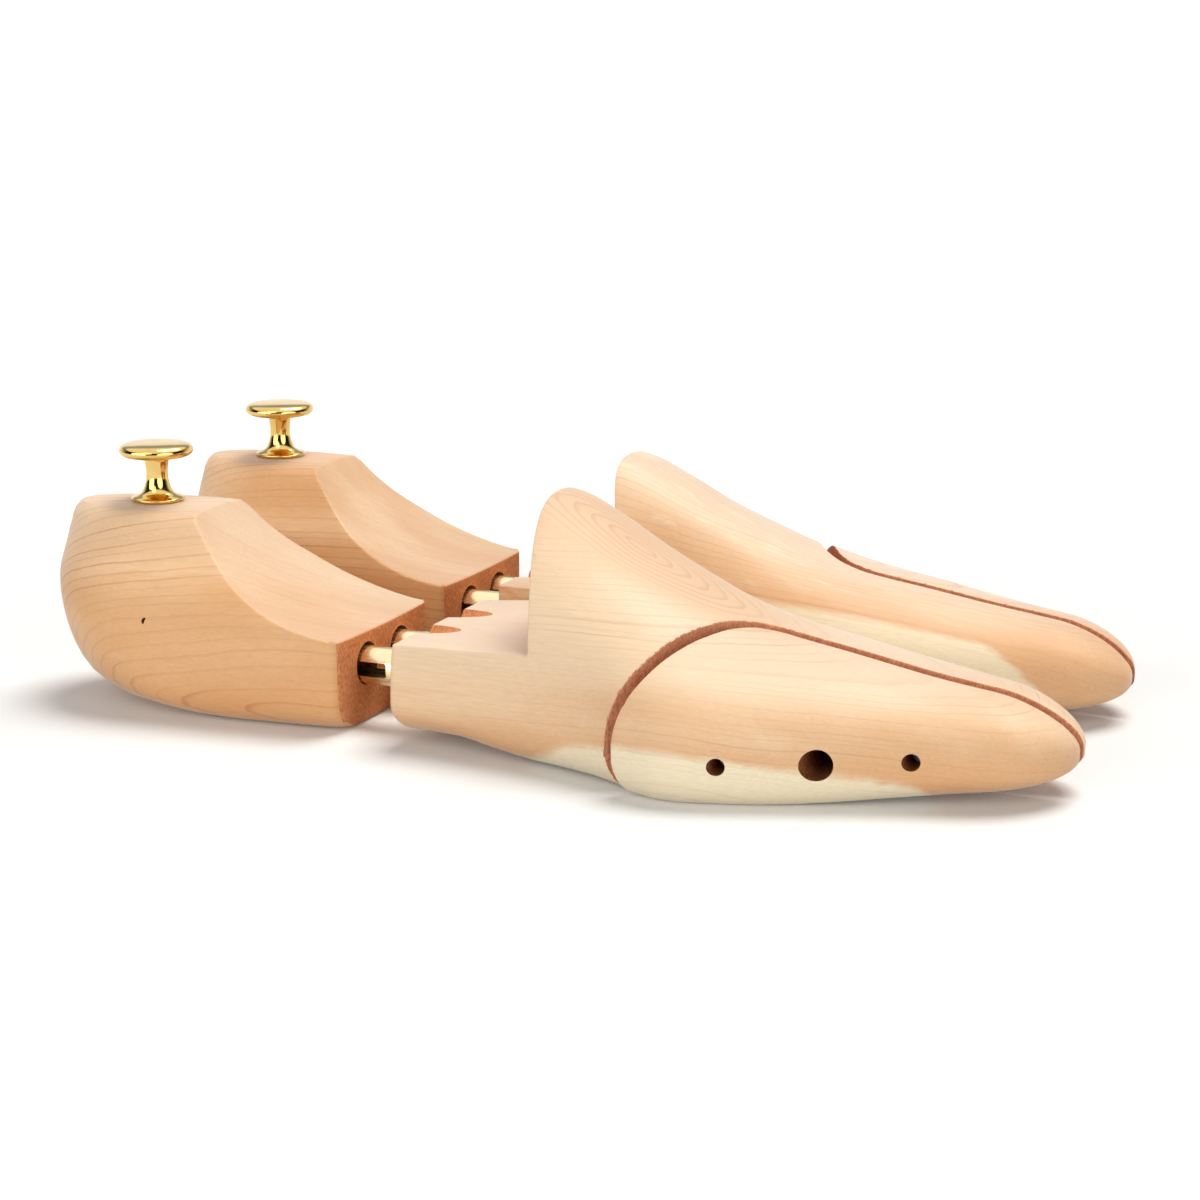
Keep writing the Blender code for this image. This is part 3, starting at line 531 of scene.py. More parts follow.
def grained(mesh, wood, finish, facing, place):
    """Give the end-grain finish to the wood's faces that look along facing, at the right place."""
    mesh.materials.append(finish)
    number = len(mesh.materials) - 1
    for face in mesh.polygons:
        plain = mesh.materials[face.material_index] == wood
        if plain and face.normal.x * facing > END_GRAIN_FACING and place(face.center):
            face.material_index = number
    return mesh


def add_piece(name, mesh, side, body, *nodes, place=None, sharp=32):
    """Stand a mesh, drawn in a tree's plan, in its place, riding on its body for its CAD nodes."""
    hand, root = TREES[side]
    mirror = Matrix.Scale(hand, 4, (0, 1, 0))
    mesh.transform(Matrix.Translation(root + (place or Vector())) @ mirror)
    form = bmesh.new()
    form.from_mesh(mesh)
    bmesh.ops.recalc_face_normals(form, faces=form.faces)
    form.to_mesh(mesh)
    form.free()
    mesh.shade_smooth()
    mesh.set_sharp_from_angle(angle=radians(sharp))
    piece = bpy.data.objects.new(f"{side}_{name}", mesh)
    bpy.context.scene.collection.objects.link(piece)
    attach(piece, body)
    if nodes:
        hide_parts(*nodes)
    return piece


def linear(hex_colour):
    """Linear colour, with alpha, of a colour written as in a paint chart."""
    channels = [int(hex_colour[i:i + 2], 16) / 255 for i in (1, 3, 5)]
    levels = [c / 12.92 if c <= 0.04045 else ((c + 0.055) / 1.055) ** 2.4 for c in channels]
    return (*levels, 1.0)


def new_finish(name):
    finish = bpy.data.materials.new(name)
    finish.use_nodes = True
    return finish, finish.node_tree, finish.node_tree.nodes["Principled BSDF"]


def add(tree, kind, settings=None, **inputs):
    """One node: its settings, and a value or a link for each named or numbered input."""
    node = tree.nodes.new(kind)
    for key, value in (settings or {}).items():
        setattr(node, key, value)
    for key, value in inputs.items():
        which = int(key[1:]) if key[1:].isdigit() else key.replace("_", " ")
        socket = node.inputs[which]
        if isinstance(value, bpy.types.NodeSocket):
            tree.links.new(value, socket)
        else:
            socket.default_value = value
    return node


def maths(tree, operation, a, b=0.0, c=0.0):
    return add(tree, "ShaderNodeMath", {"operation": operation}, i0=a, i1=b, i2=c).outputs[0]


def mixed(tree, share, a, b, kind="MIX"):
    settings = {"data_type": "RGBA", "blend_type": kind}
    return add(tree, "ShaderNodeMix", settings, i0=share, i6=a, i7=b).outputs[2]


def ranged(tree, value, low, high, to_low=0.0, to_high=1.0, smooth=True):
    node = add(
        tree,
        "ShaderNodeMapRange",
        {"interpolation_type": "SMOOTHSTEP" if smooth else "LINEAR"},
        Value=value,
        From_Min=low,
        From_Max=high,
        To_Min=to_low,
        To_Max=to_high,
    )
    return node.outputs[0]


def grain_noise(tree, where, stretch, detail=2.0, roughness=0.5, seed=0.0):
    """Noise whose lumps measure 1 / stretch metres along each axis."""
    shift = (seed, seed * 0.7, -seed)
    scaled = add(tree, "ShaderNodeMapping", {}, Vector=where, Scale=stretch, Location=shift)
    return add(
        tree,
        "ShaderNodeTexNoise",
        {"noise_dimensions": "3D"},
        Vector=scaled.outputs[0],
        Scale=1.0,
        Detail=detail,
        Roughness=roughness,
    ).outputs["Fac"]


# Cedar, sanded and left bare: peach heartwood with fine brown growth lines and cream sapwood.
# Each block keeps the pith's place in its tree's plan and its tilt, the spacing of its rings,
# the distance from the pith at which its sapwood begins, the two distances between which its
# heartwood goes from pale to deep, how pale it is at the pale end, and how strong its streaks are.
# The piths lie so that the upper faces come out pale and the lower faces deep: partly the wood's
# own tone, partly painted light on top and painted shade below.
WOODS = {
    ("right", "heel"): {
        "pith": (-0.022, -0.031, 0.004), "tilt": (0.0, 0.30), "ring": 0.0029, "sap": 0.150,
        "ripe_and_painted_shade": (0.060, 0.008), "palest_and_painted_light": 0.45, "streaks": 0.0,
    },
    ("left", "heel"): {
        "pith": (-0.030, 0.036, -0.006), "tilt": (0.05, -0.22), "ring": 0.0027, "sap": 0.150,
        "ripe_and_painted_shade": (0.085, 0.016), "palest_and_painted_light": 0.10, "streaks": 0.12,
    },
    ("right", "fore"): {
        "pith": (0.100, -0.005, 0.103), "tilt": (0.0, 0.0), "ring": 0.0019, "sap": 0.1000,
        "ripe_and_painted_shade": (0.078, 0.105), "palest_and_painted_light": 0.60, "streaks": 0.0,
    },
    ("left", "fore"): {
        "pith": (0.100, -0.027, 0.081), "tilt": (0.0, 0.0), "ring": 0.0021, "sap": 0.0750,
        "ripe_and_painted_shade": (0.050, 0.078), "palest_and_painted_light": 0.60, "streaks": 0.5,
    },
}
RING_LINE = "#bc6438"
SAPWOOD = "#fdeecd"
# Pale and deep heartwood colours, which also serve as painted light on the upper faces and painted
# shade on the lower ones
PALE_WOOD_AND_PAINTED_LIGHT = "#fbe2c2"
RIPE_WOOD_AND_PAINTED_SHADE = "#e2a468"

# A swirl of growth lines on the right vamp: its middle, its slope, its reach along and across
# the vamp, and the number of its ovals
SWIRL = {
    "place": (0.0770, 0.0020, 0.0540),
    "slope": radians(27),
    "reach": (0.044, 0.0150, 0.030),
    "ovals": 8,
}


def cedar(name, side, block, seed, light, deep, lines=1.0):
    """Bare cedar of one block, between two colours, with growth lines of the given strength."""
    hand, root = TREES[side]
    wood = WOODS[side, block]
    finish, tree, shader = new_finish(name)
    at = add(tree, "ShaderNodeTexCoord").outputs["Object"]
    px, py, pz = wood["pith"]
    pitch, yaw = wood["tilt"]
    along = add(
        tree,
        "ShaderNodeMapping",
        {"vector_type": "TEXTURE"},
        Vector=at,
        Location=root + Vector((px, hand * py, pz)),
        Rotation=(0, pitch, hand * yaw),
    ).outputs[0]

    # The rings: distance from the pith, bent a millimetre or two over several centimetres
    sway = grain_noise(tree, along, (9, 30, 30), 1.0, 0.4, seed)
    sway = maths(tree, "SUBTRACT", sway, 0.5)
    ripple = grain_noise(tree, along, (55, 170, 170), 2.0, 0.5, seed + 3)
    ripple = maths(tree, "SUBTRACT", ripple, 0.5)
    flat = add(
        tree, "ShaderNodeVectorMath", {"operation": "MULTIPLY"}, i0=along, i1=(0, 1, 1)
    ).outputs[0]
    reach = add(tree, "ShaderNodeVectorMath", {"operation": "LENGTH"}, i0=flat).outputs["Value"]
    sap_edge = maths(tree, "MULTIPLY_ADD", sway, 0.004, reach)
    ahead = add(tree, "ShaderNodeSeparateXYZ", {}, Vector=along).outputs["X"]
    if block == "fore":
        sap_edge = maths(tree, "ADD", sap_edge, ranged(tree, ahead, -0.048, -0.022, -0.0060, 0.0))
        sap_edge = maths(tree, "ADD", sap_edge, ranged(tree, ahead, 0.058, 0.090, 0.0, -0.0130))
    reach = maths(tree, "MULTIPLY_ADD", sway, 0.010, reach)
    reach = maths(tree, "MULTIPLY_ADD", ripple, 0.0011, reach)

    # The growth lines: each rises slowly and ends sharply, some stronger than others
    count = maths(tree, "DIVIDE", reach, wood["ring"])
    uneven = add(
        tree, "ShaderNodeTexNoise", {"noise_dimensions": "1D"}, W=count, Scale=0.35, Detail=1.0
    ).outputs["Fac"]
    count = maths(tree, "MULTIPLY_ADD", uneven, 1.6, count)
    place = maths(tree, "FRACT", count)
    rising = maths(tree, "POWER", ranged(tree, place, 0.55, 0.94), 4.0)
    line = maths(tree, "MULTIPLY", rising, ranged(tree, place, 0.955, 1.0, 1.0, 0.0))
    strength = add(
        tree, "ShaderNodeTexWhiteNoise", {"noise_dimensions": "1D"}, W=maths(tree, "FLOOR", count)
    ).outputs["Value"]
    fade = grain_noise(tree, along, (12, 40, 40), 1.0, 0.5, seed + 7)
    line = maths(tree, "MULTIPLY", line, ranged(tree, strength, 0.0, 1.0, 0.25, 0.85, False))
    line = maths(tree, "MULTIPLY", line, ranged(tree, fade, 0.35, 0.62, 0.35, 1.0))
    line = maths(tree, "MULTIPLY", line, lines)

    # Within the swirl its ovals take the place of the rings, and the wood is of the deeper colour
    vamp = None
    if (side, block) == ("right", "fore"):
        near = add(
            tree,
            "ShaderNodeMapping",
            {"vector_type": "TEXTURE"},
            Vector=at,
            Location=root + Vector(SWIRL["place"]),
            Rotation=(0, SWIRL["slope"], 0),
            Scale=SWIRL["reach"],
        ).outputs[0]
        away = add(tree, "ShaderNodeVectorMath", {"operation": "LENGTH"}, i0=near).outputs["Value"]
        away = maths(tree, "MULTIPLY_ADD", ripple, 0.09, away)
        oval = maths(tree, "FRACT", maths(tree, "MULTIPLY", away, SWIRL["ovals"]))
        rise, fall = ranged(tree, oval, 0.50, 0.92), ranged(tree, oval, 0.93, 1.0, 1.0, 0.0)
        oval = maths(tree, "MULTIPLY", rise, fall)
        line = maths(tree, "MULTIPLY", line, ranged(tree, away, 0.80, 1.15))
        oval = maths(tree, "MULTIPLY", oval, ranged(tree, away, 0.75, 1.05, 0.40, 0.0))
        line = maths(tree, "MAXIMUM", line, oval)
        vamp = ranged(tree, away, 0.80, 1.60, 0.75, 0.0)

    # Fibres half a millimetre across, streaks two millimetres across and broad changes of tone
    fibre = grain_noise(tree, along, (60, 1900, 1900), 2.0, 0.6, seed + 11)
    streak = grain_noise(tree, along, (16, 520, 520), 3.0, 0.6, seed + 13)
    tone = grain_noise(tree, along, (8, 60, 60), 2.0, 0.5, seed + 17)

    # Heartwood from pale to deep, then pale streaks, sapwood, growth lines and fibres over it
    colour = mixed(tree, ranged(tree, tone, 0.32, 0.68), linear(light), linear(deep))
    colour = mixed(tree, ranged(tree, streak, 0.44, 0.68, 0.0, 0.34), colour, linear(deep))
    # Paler high up and deeper low down: partly the wood's own tone, partly painted light on the
    # upper faces and painted shade on the lower ones
    start, end = wood["ripe_and_painted_shade"]
    ripeness_and_painted_shade = ranged(tree, reach, start, end, smooth=False)
    # The forepart grows deeper towards the toe: painted shade
    if block == "fore":
        ripeness_and_painted_shade = maths(tree, "ADD", ripeness_and_painted_shade, ranged(tree, ahead, 0.045, 0.085, 0.0, 0.35))
    paleness_and_painted_light = ranged(tree, ripeness_and_painted_shade, 0.0, 0.5, wood["palest_and_painted_light"], 0.0)
    colour = mixed(tree, paleness_and_painted_light, colour, linear(PALE_WOOD_AND_PAINTED_LIGHT))
    if vamp is not None:
        colour = mixed(tree, vamp, colour, linear(deep))
    colour = mixed(tree, ranged(tree, ripeness_and_painted_shade, 0.5, 1.0, 0.0, 0.55), colour, linear(RIPE_WOOD_AND_PAINTED_SHADE))
    pale = grain_noise(tree, along, (7, 170, 170), 3.0, 0.6, seed + 19)
    pale = ranged(tree, pale, 0.54, 0.72, 0.0, wood["streaks"])
    if block == "fore":
        pale = maths(tree, "MULTIPLY", pale, ranged(tree, ahead, 0.040, 0.080, 1.0, 0.0))
    colour = mixed(tree, pale, colour, linear(SAPWOOD))
    edge = maths(tree, "MULTIPLY_ADD", streak, 0.0030, sap_edge)
    sap = ranged(tree, edge, wood["sap"], wood["sap"] + 0.0028)
    colour = mixed(tree, sap, colour, linear(SAPWOOD))
    line = maths(tree, "MULTIPLY", line, ranged(tree, sap, 0.0, 1.0, 0.62, 0.34, False))
    colour = mixed(tree, line, colour, linear(RING_LINE))
    shade = ranged(tree, fibre, 0.30, 0.72, 0.95, 1.04, False)
    grey = add(tree, "ShaderNodeCombineColor", {}, Red=shade, Green=shade, Blue=shade).outputs[0]
    colour = mixed(tree, 1.0, colour, grey, "MULTIPLY")
    tree.links.new(colour, shader.inputs["Base Color"])
    tree.links.new(ranged(tree, fibre, 0.3, 0.7, 0.46, 0.58, False), shader.inputs["Roughness"])
    shader.inputs["IOR"].default_value = 1.45
    shader.inputs["Specular IOR Level"].default_value = 0.5
    shader.inputs["Sheen Weight"].default_value = 0.45
    shader.inputs["Sheen Roughness"].default_value = 0.45
    bump = add(tree, "ShaderNodeBump", {}, Strength=0.08, Distance=0.0003, Height=fibre)
    tree.links.new(bump.outputs[0], shader.inputs["Normal"])
    return finish


def sawn(name, light, dark):
    """Cedar as the saw leaves it across the grain: red brown, dull, with fine fuzzy marks."""
    finish, tree, shader = new_finish(name)
    at = add(tree, "ShaderNodeTexCoord").outputs["Object"]
    specks = grain_noise(tree, at, (1500, 1500, 900), 3.0, 0.65, 1.7)
    bands = grain_noise(tree, at, (160, 160, 260), 2.0, 0.55, 4.1)
    colour = mixed(tree, ranged(tree, specks, 0.35, 0.65), linear(dark), linear(light))
    colour = mixed(tree, ranged(tree, bands, 0.35, 0.7, 0.0, 0.4), colour, linear(dark))
    tree.links.new(colour, shader.inputs["Base Color"])
    shader.inputs["Roughness"].default_value = 0.85
    shader.inputs["Specular IOR Level"].default_value = 0.2
    bump = add(tree, "ShaderNodeBump", {}, Strength=0.35, Distance=0.0003, Height=specks)
    tree.links.new(bump.outputs[0], shader.inputs["Normal"])
    return finish


def brass(name, colour, tarnish, low, high, stretch, bump_strength):
    """Brass: yellow metal, polished on the knob, satin with fine drawing lines on the tubes."""
    finish, tree, shader = new_finish(name)
    at = add(tree, "ShaderNodeTexCoord").outputs["Object"]
    marks = grain_noise(tree, at, stretch, 3.0, 0.6, 2.3)
    haze = grain_noise(tree, at, (120, 120, 120), 2.0, 0.5, 6.1)
    tint = mixed(tree, ranged(tree, haze, 0.35, 0.75, 0.0, 0.5), linear(colour), linear(tarnish))
    tree.links.new(tint, shader.inputs["Base Color"])
    tree.links.new(ranged(tree, marks, 0.3, 0.7, low, high, False), shader.inputs["Roughness"])
    shader.inputs["Metallic"].default_value = 1.0
    bump = add(tree, "ShaderNodeBump", {}, Strength=bump_strength, Distance=0.0001, Height=marks)
    tree.links.new(bump.outputs[0], shader.inputs["Normal"])
    return finish


def steel(name, colour, worn, low, high):
    """Steel of the springs, pins and screws: grey metal with fine scratches."""
    finish, tree, shader = new_finish(name)
    at = add(tree, "ShaderNodeTexCoord").outputs["Object"]
    scratches = grain_noise(tree, at, (2600, 900, 900), 3.0, 0.6, 5.3)
    tint = mixed(tree, ranged(tree, scratches, 0.35, 0.7), linear(colour), linear(worn))
    tree.links.new(tint, shader.inputs["Base Color"])
    tree.links.new(ranged(tree, scratches, 0.3, 0.7, low, high, False), shader.inputs["Roughness"])
    shader.inputs["Metallic"].default_value = 1.0
    return finish


# The scoop and the shelf face upwards and take paler copies of the wood with fainter growth lines:
# the paler tone is painted light on these upper cut faces
SEEDS = {"right": 2.0, "left": 9.0}
HEEL_WOOD, LIT_SCOOP_WOOD, FORE_WOOD, LIT_SHELF_WOOD = {}, {}, {}, {}
for side, seed in SEEDS.items():
    HEEL_WOOD[side] = cedar(f"sanded_cedar_{side}_heel", side, "heel", seed, "#f6ca9a", "#eab47c")
    LIT_SCOOP_WOOD[side] = cedar(
        f"scooped_cedar_painted_light_{side}", side, "heel", seed, "#f6d0a4", "#ecbc8a", 0.35
    )
    FORE_WOOD[side] = cedar(
        f"sanded_cedar_{side}_fore", side, "fore", seed + 2, "#f8d5ac", "#efc294", 0.6
    )
    LIT_SHELF_WOOD[side] = cedar(
        f"milled_cedar_painted_light_{side}_shelf", side, "fore", seed + 2, "#fadcba", "#f2cda4", 0.3
    )
END_GRAIN = sawn("sawn_cedar_end_grain", "#f2ab75", "#d08250")
KERF_FACE = sawn("bandsawn_cedar_kerf", "#eaa880", "#cc8660")
# Drilled walls, darker than the wood: partly the bare drilled cedar, partly painted shade down in
# the holes
BORED_AND_SHADED = sawn("drilled_cedar_painted_shade", "#a4683e", "#784424")
KNOB_BRASS = brass("polished_brass", "#e6c478", "#cda656", 0.06, 0.12, (300, 300, 1500), 0.02)
TUBE_BRASS = brass("drawn_satin_brass", "#fbecc0", "#ecd498", 0.20, 0.30, (60, 2200, 2200), 0.08)
PIN_STEEL = steel("ground_steel", "#a6a6a4", "#8a8a88", 0.30, 0.42)
SCREW_ZINC = steel("zinc_plated_steel", "#bdbbb2", "#9d9b92", 0.30, 0.45)
SPRING_STEEL = steel("spring_steel_wire", "#8b8d90", "#6b6d70", 0.28, 0.42)


def heel_block(side):
    # The scoop: an arc from the near flat top down to the front face
    brow = HEEL_HEIGHT - HEEL_CROWN
    drop = brow - HEEL_FACE_HEIGHT
    chord = hypot(SCOOP_LENGTH, drop)
    rise = sqrt(SCOOP_RADIUS**2 - chord**2 / 4)
    level = (brow + HEEL_FACE_HEIGHT) / 2 + rise * SCOOP_LENGTH / chord
    centre = Vector((-SCOOP_LENGTH / 2 + rise * drop / chord, 0, level))
    wide = HEEL_WIDTH / 2 + BEYOND

    # The scoop's drum is a little fuller in the middle, so it dishes the slope
    scoop = bmesh.new()
    steps, turns = 16, 200
    bmesh.ops.create_grid(scoop, x_segments=steps, y_segments=turns, size=1)
    for v in scoop.verts:
        y = v.co.x * wide
        radius = SCOOP_RADIUS + SCOOP_DISH * (1 - (y / wide) ** 2)
        a = pi * (round((v.co.y + 1) / 2 * turns) % turns) * 2 / turns
        v.co = centre + Vector((radius * cos(a), y, radius * sin(a)))
    bmesh.ops.remove_doubles(scoop, verts=scoop.verts, dist=MERGE_DISTANCE)
    bmesh.ops.holes_fill(scoop, edges=scoop.edges, sides=0)

    wood = HEEL_WOOD[side]
    block = lofted("heel_block", heel_rings())
    block.materials.append(wood)
    # The scoop's face takes the paler copy of the wood: painted light
    scooped = [(finished("scoop", scoop), LIT_SCOOP_WOOD[side], "DIFFERENCE")]
    block = sanded(cut_away("heel_block", block, scooped), HEEL_SANDING)

    cuts = []
    bore = TUBE_HEIGHT + BORE_RISE
    for _, across in TUBES:
        mouth, bottom = (BEYOND, across, bore), (-HEEL_BORE_DEPTH, across, bore)
        cuts.append(drilled("bore", mouth, bottom, HEEL_BORE_DIAMETER, 64))
    seat = heel_centre(-KNOB_SETBACK)
    cuts.append(drilled(
        "knob_hole",
        (-KNOB_SETBACK, seat, HEEL_HEIGHT + BEYOND),
        (-KNOB_SETBACK, seat, HEEL_HEIGHT - KNOB_SCREW_IN_WOOD - FIT_CLEARANCE),
        KNOB_SCREW_DIAMETER + 2 * FIT_CLEARANCE,
        24,
    ))
    cuts.append(drilled(
        "pin_hole",
        (-PIN_SETBACK, HEEL_WIDTH / 2 + BEYOND, TUBE_HEIGHT),
        (-PIN_SETBACK, -PIN_REACH - FIT_CLEARANCE, TUBE_HEIGHT),
        PIN_DIAMETER + 2 * FIT_CLEARANCE,
        24,
    ))
    if side == "right":
        outline = [
            (-0.0001, -0.0009), (0.0005, -0.0007), (0.0007, 0.0002),
            (0.0011, 0.0007), (0.0004, 0.0010), (-0.0003, 0.0002),
        ]
        outline = [(-BRAD_SETBACK + x, 0, BRAD_HEIGHT + z) for x, z in outline]
        cuts.append((
            slab("brad_hole", outline, (0, -wide, 0), (0, BRAD_DEPTH - HEEL_WIDTH / 2, 0)),
            BORED_AND_SHADED,
            "DIFFERENCE",
        ))
    mesh = cut_away("heel_block", block, cuts)
    mesh = grained(mesh, wood, END_GRAIN, 1, lambda middle: middle.x > -END_GRAIN_REACH)
    piece = add_piece("heel_block_wood", mesh, side, "heel_blocks", f"{side}_heel_block")


def forepart(side):
    wood = FORE_WOOD[side]
    wide = BALL_OUTER_REACH + 2 * BEYOND
    foot = SHELF_HEIGHT + SHELF_RISE
    summit = INSTEP_HEIGHT + BEYOND
    slope = SHELF_RISE / SHELF_LENGTH
    outline = [(REST_OPENING - BEYOND, 0, SHELF_HEIGHT - BEYOND * slope)]
    for i in range(25):
        t = i / 24 * (summit - foot) / (INSTEP_HEIGHT - foot)
        x = SHELF_END - WALL_LEAN * t + WALL_HOLLOW * 4 * t * (1 - t)
        outline.append((x, 0, foot + (INSTEP_HEIGHT - foot) * t))
    outline.append((REST_OPENING - BEYOND, 0, summit))
    plan = [(x, y, 0) for x, y in kerf_outline(KERF_WIDTH / 2, 0, wide)]
    block = lofted("forepart", forepart_rings())
    block.materials.append(wood)
    # The shelf takes the paler copy of the wood: painted light
    block = sanded(cut_away("forepart", block, [
        (slab("shelf_cut", outline, (0, -wide, 0), (0, wide, 0)), LIT_SHELF_WOOD[side], "DIFFERENCE"),
        (slab("kerf", plan, (0, 0, -BEYOND), (0, 0, summit)), KERF_FACE, "DIFFERENCE"),
    ]), FOREPART_SANDING)

    cuts = []
    level = SHELF_HEIGHT - GROOVE_DEPTH + GROOVE_RADIUS
    run = Vector((cos(GROOVE_SLOPE), 0, sin(GROOVE_SLOPE)))
    for _, across in TUBES:
        cuts.append(drilled(
            "bore",
            (REST_OPENING - BEYOND, across, TUBE_HEIGHT),
            (TUBE_FRONT + FIT_CLEARANCE, across, TUBE_HEIGHT),
            TUBE_DIAMETER + 2 * FIT_CLEARANCE,
            64,
        ))
        middle = Vector((REST_OPENING, across, level))
        cuts.append((
            rod("groove", middle - run * BEYOND, middle + run * 2 * BEYOND, 2 * GROOVE_RADIUS, 72),
            END_GRAIN,
            "DIFFERENCE",
        ))
    for from_toe, z in (REAR_GUIDE, FRONT_GUIDE):
        x = TOE - from_toe
        bottom = (x, GUIDE_PIN_REACH + FIT_CLEARANCE, z)
        width = GUIDE_PIN_DIAMETER + 2 * FIT_CLEARANCE
        cuts.append(drilled("guide", (x, -wide, z), bottom, width, 32))
    x, z = TOE - TOE_SCREW_FROM_TOE, TOE_SCREW_HEIGHT
    face = kerf_centre(x) + KERF_WIDTH / 2
    floor = face + TOE_SPRING_POCKET
    width = TOE_SPRING_DIAMETER + 5 * FIT_CLEARANCE
    cuts.append(drilled("pocket", (x, -wide, z), (x, floor, z), width, 48))
    bottom = (x, floor + TOE_SCREW_BITE + FIT_CLEARANCE, z)
    width = TOE_SCREW_DIAMETER + 2 * FIT_CLEARANCE
    cuts.append(drilled("screw_hole", (x, face, z), bottom, width, 24))
    mesh = cut_away("forepart", block, cuts)
    mesh = grained(mesh, wood, END_GRAIN, -1, lambda middle: middle.x < SHELF_END)
    mesh = grained(
        mesh, LIT_SHELF_WOOD[side], END_GRAIN, -1, lambda middle: middle.z > foot + WALL_GRAIN_START
    )
    piece = add_piece("forepart_wood", mesh, side, f"{side}_front", f"{side}_forepart")


def side_piece(side):
    wood = FORE_WOOD[side]
    wide = BALL_OUTER_REACH + 2 * BEYOND
    outline = [(x, y, 0) for x, y in kerf_outline(-KERF_WIDTH / 2, 1, wide)]
    blank = slab("side_blank", outline, (0, 0, -BEYOND), (0, 0, INSTEP_HEIGHT + BEYOND))
    block = lofted("side_piece", forepart_rings())
    block.materials.append(wood)
    sawn_off = cut_away("side_piece", block, [(blank, KERF_FACE, "INTERSECT")])
    block = sanded(sawn_off, FOREPART_SANDING)

    cuts = []
    for from_toe, z in (REAR_GUIDE, FRONT_GUIDE):
        x = TOE - from_toe
        width = GUIDE_PIN_DIAMETER + 2 * FIT_CLEARANCE
        cuts.append(drilled("guide", (x, -wide, z), (x, BEYOND, z), width, 36))
    x, z = TOE - TOE_SCREW_FROM_TOE, TOE_SCREW_HEIGHT
    web = kerf_centre(x) - KERF_WIDTH / 2 - SCREW_WEB
    cuts.append(drilled("counterbore", (x, -wide, z), (x, web, z), COUNTERBORE_DIAMETER, 64))
    width = TOE_SCREW_DIAMETER + 2 * FIT_CLEARANCE
    cuts.append(drilled("screw_passage", (x, -wide, z), (x, BEYOND, z), width, 24))
    mesh = cut_away("side_piece", block, cuts)
    piece = add_piece(
        "side_piece_wood", mesh, side, f"{side}_side", f"{side}_side_piece", place=side_home(side)
    )


def side_home(side):
    """The side piece at rest stands out from the forepart, pushed by its spring."""
    return Vector((0, -SIDE_SPREAD * TREES[side][0], 0))


def spun(name, profile, steps):
    """Body turned about Z from a profile of radius and height that runs down its outer side."""
    form = bmesh.new()
    points = [form.verts.new((r, 0, z)) for r, z in profile]
    edges = [form.edges.new(pair) for pair in zip(points, points[1:])]
    bmesh.ops.spin(
        form, geom=points + edges, cent=(0, 0, 0), axis=(0, 0, 1), dvec=(0, 0, 0),
        angle=2 * pi, steps=steps, use_merge=True, use_duplicate=False,
    )
    bmesh.ops.remove_doubles(form, verts=form.verts, dist=MERGE_DISTANCE)
    return finished(name, form)


def rounded(points, steps):
    """Points of a smooth curve through the given ones."""
    ends = [points[0]] + list(points) + [points[-1]]
    curve = []
    for a, b, c, d in zip(ends, ends[1:], ends[2:], ends[3:]):
        for i in range(steps):
            t = i / steps
            curve.append(tuple(
                0.5 * (
                    2 * q + (r - p) * t + (2 * p - 5 * q + 4 * r - s) * t * t
                    + (3 * q - p - 3 * r + s) * t**3
                )
                for p, q, r, s in zip(a, b, c, d)
            ))
    return curve + [points[-1]]


def knob(side):
    cap = KNOB_DIAMETER / 2
    neck = KNOB_NECK_DIAMETER / 2
    flange = KNOB_FLANGE_DIAMETER / 2
    hole = KNOB_SCREW_DIAMETER / 2 + FIT_CLEARANCE
    top = KNOB_HEIGHT
    edge = top - KNOB_CROWN
    under = edge - KNOB_RIM
    outside = rounded((
        (0.0, top),
        (cap * 0.30, top - KNOB_CROWN * 0.06),
        (cap * 0.60, top - KNOB_CROWN * 0.28),
        (cap * 0.84, top - KNOB_CROWN * 0.72),
        (cap * 0.955, edge - KNOB_RIM * 0.10),
        (cap, edge - KNOB_RIM * 0.40),
        (cap * 0.975, edge - KNOB_RIM * 0.70),
        (cap * 0.87, edge - KNOB_RIM * 0.93),
        (cap * 0.60, under - 0.0001),
        (neck * 1.34, under - 0.0002),
        (neck * 1.26, under - 0.0006),
        (neck * 1.14, under - 0.0012),
        (neck * 1.01, under * 0.66),
        (neck * 1.05, under * 0.46),
        (neck * 1.27, under * 0.27),
        (neck * 1.62, under * 0.145),
        (flange * 0.90, under * 0.085),
        (flange, under * 0.05),
        (flange * 0.985, 0.0),
    ), 5)
    depth = KNOB_SCREW_IN_KNOB + FIT_CLEARANCE
    inside = [(hole, 0.0), (hole, depth), (0.0, depth)]
    mesh = spun("knob", outside + inside, 96)
    mesh.materials.append(KNOB_BRASS)
    across = TREES[side][0] * heel_centre(-KNOB_SETBACK)
    place = Vector((-KNOB_SETBACK, across, HEEL_HEIGHT + FIT_CLEARANCE))
    piece = add_piece("knob_brass", mesh, side, "heel_blocks", f"{side}_knob", place=place)


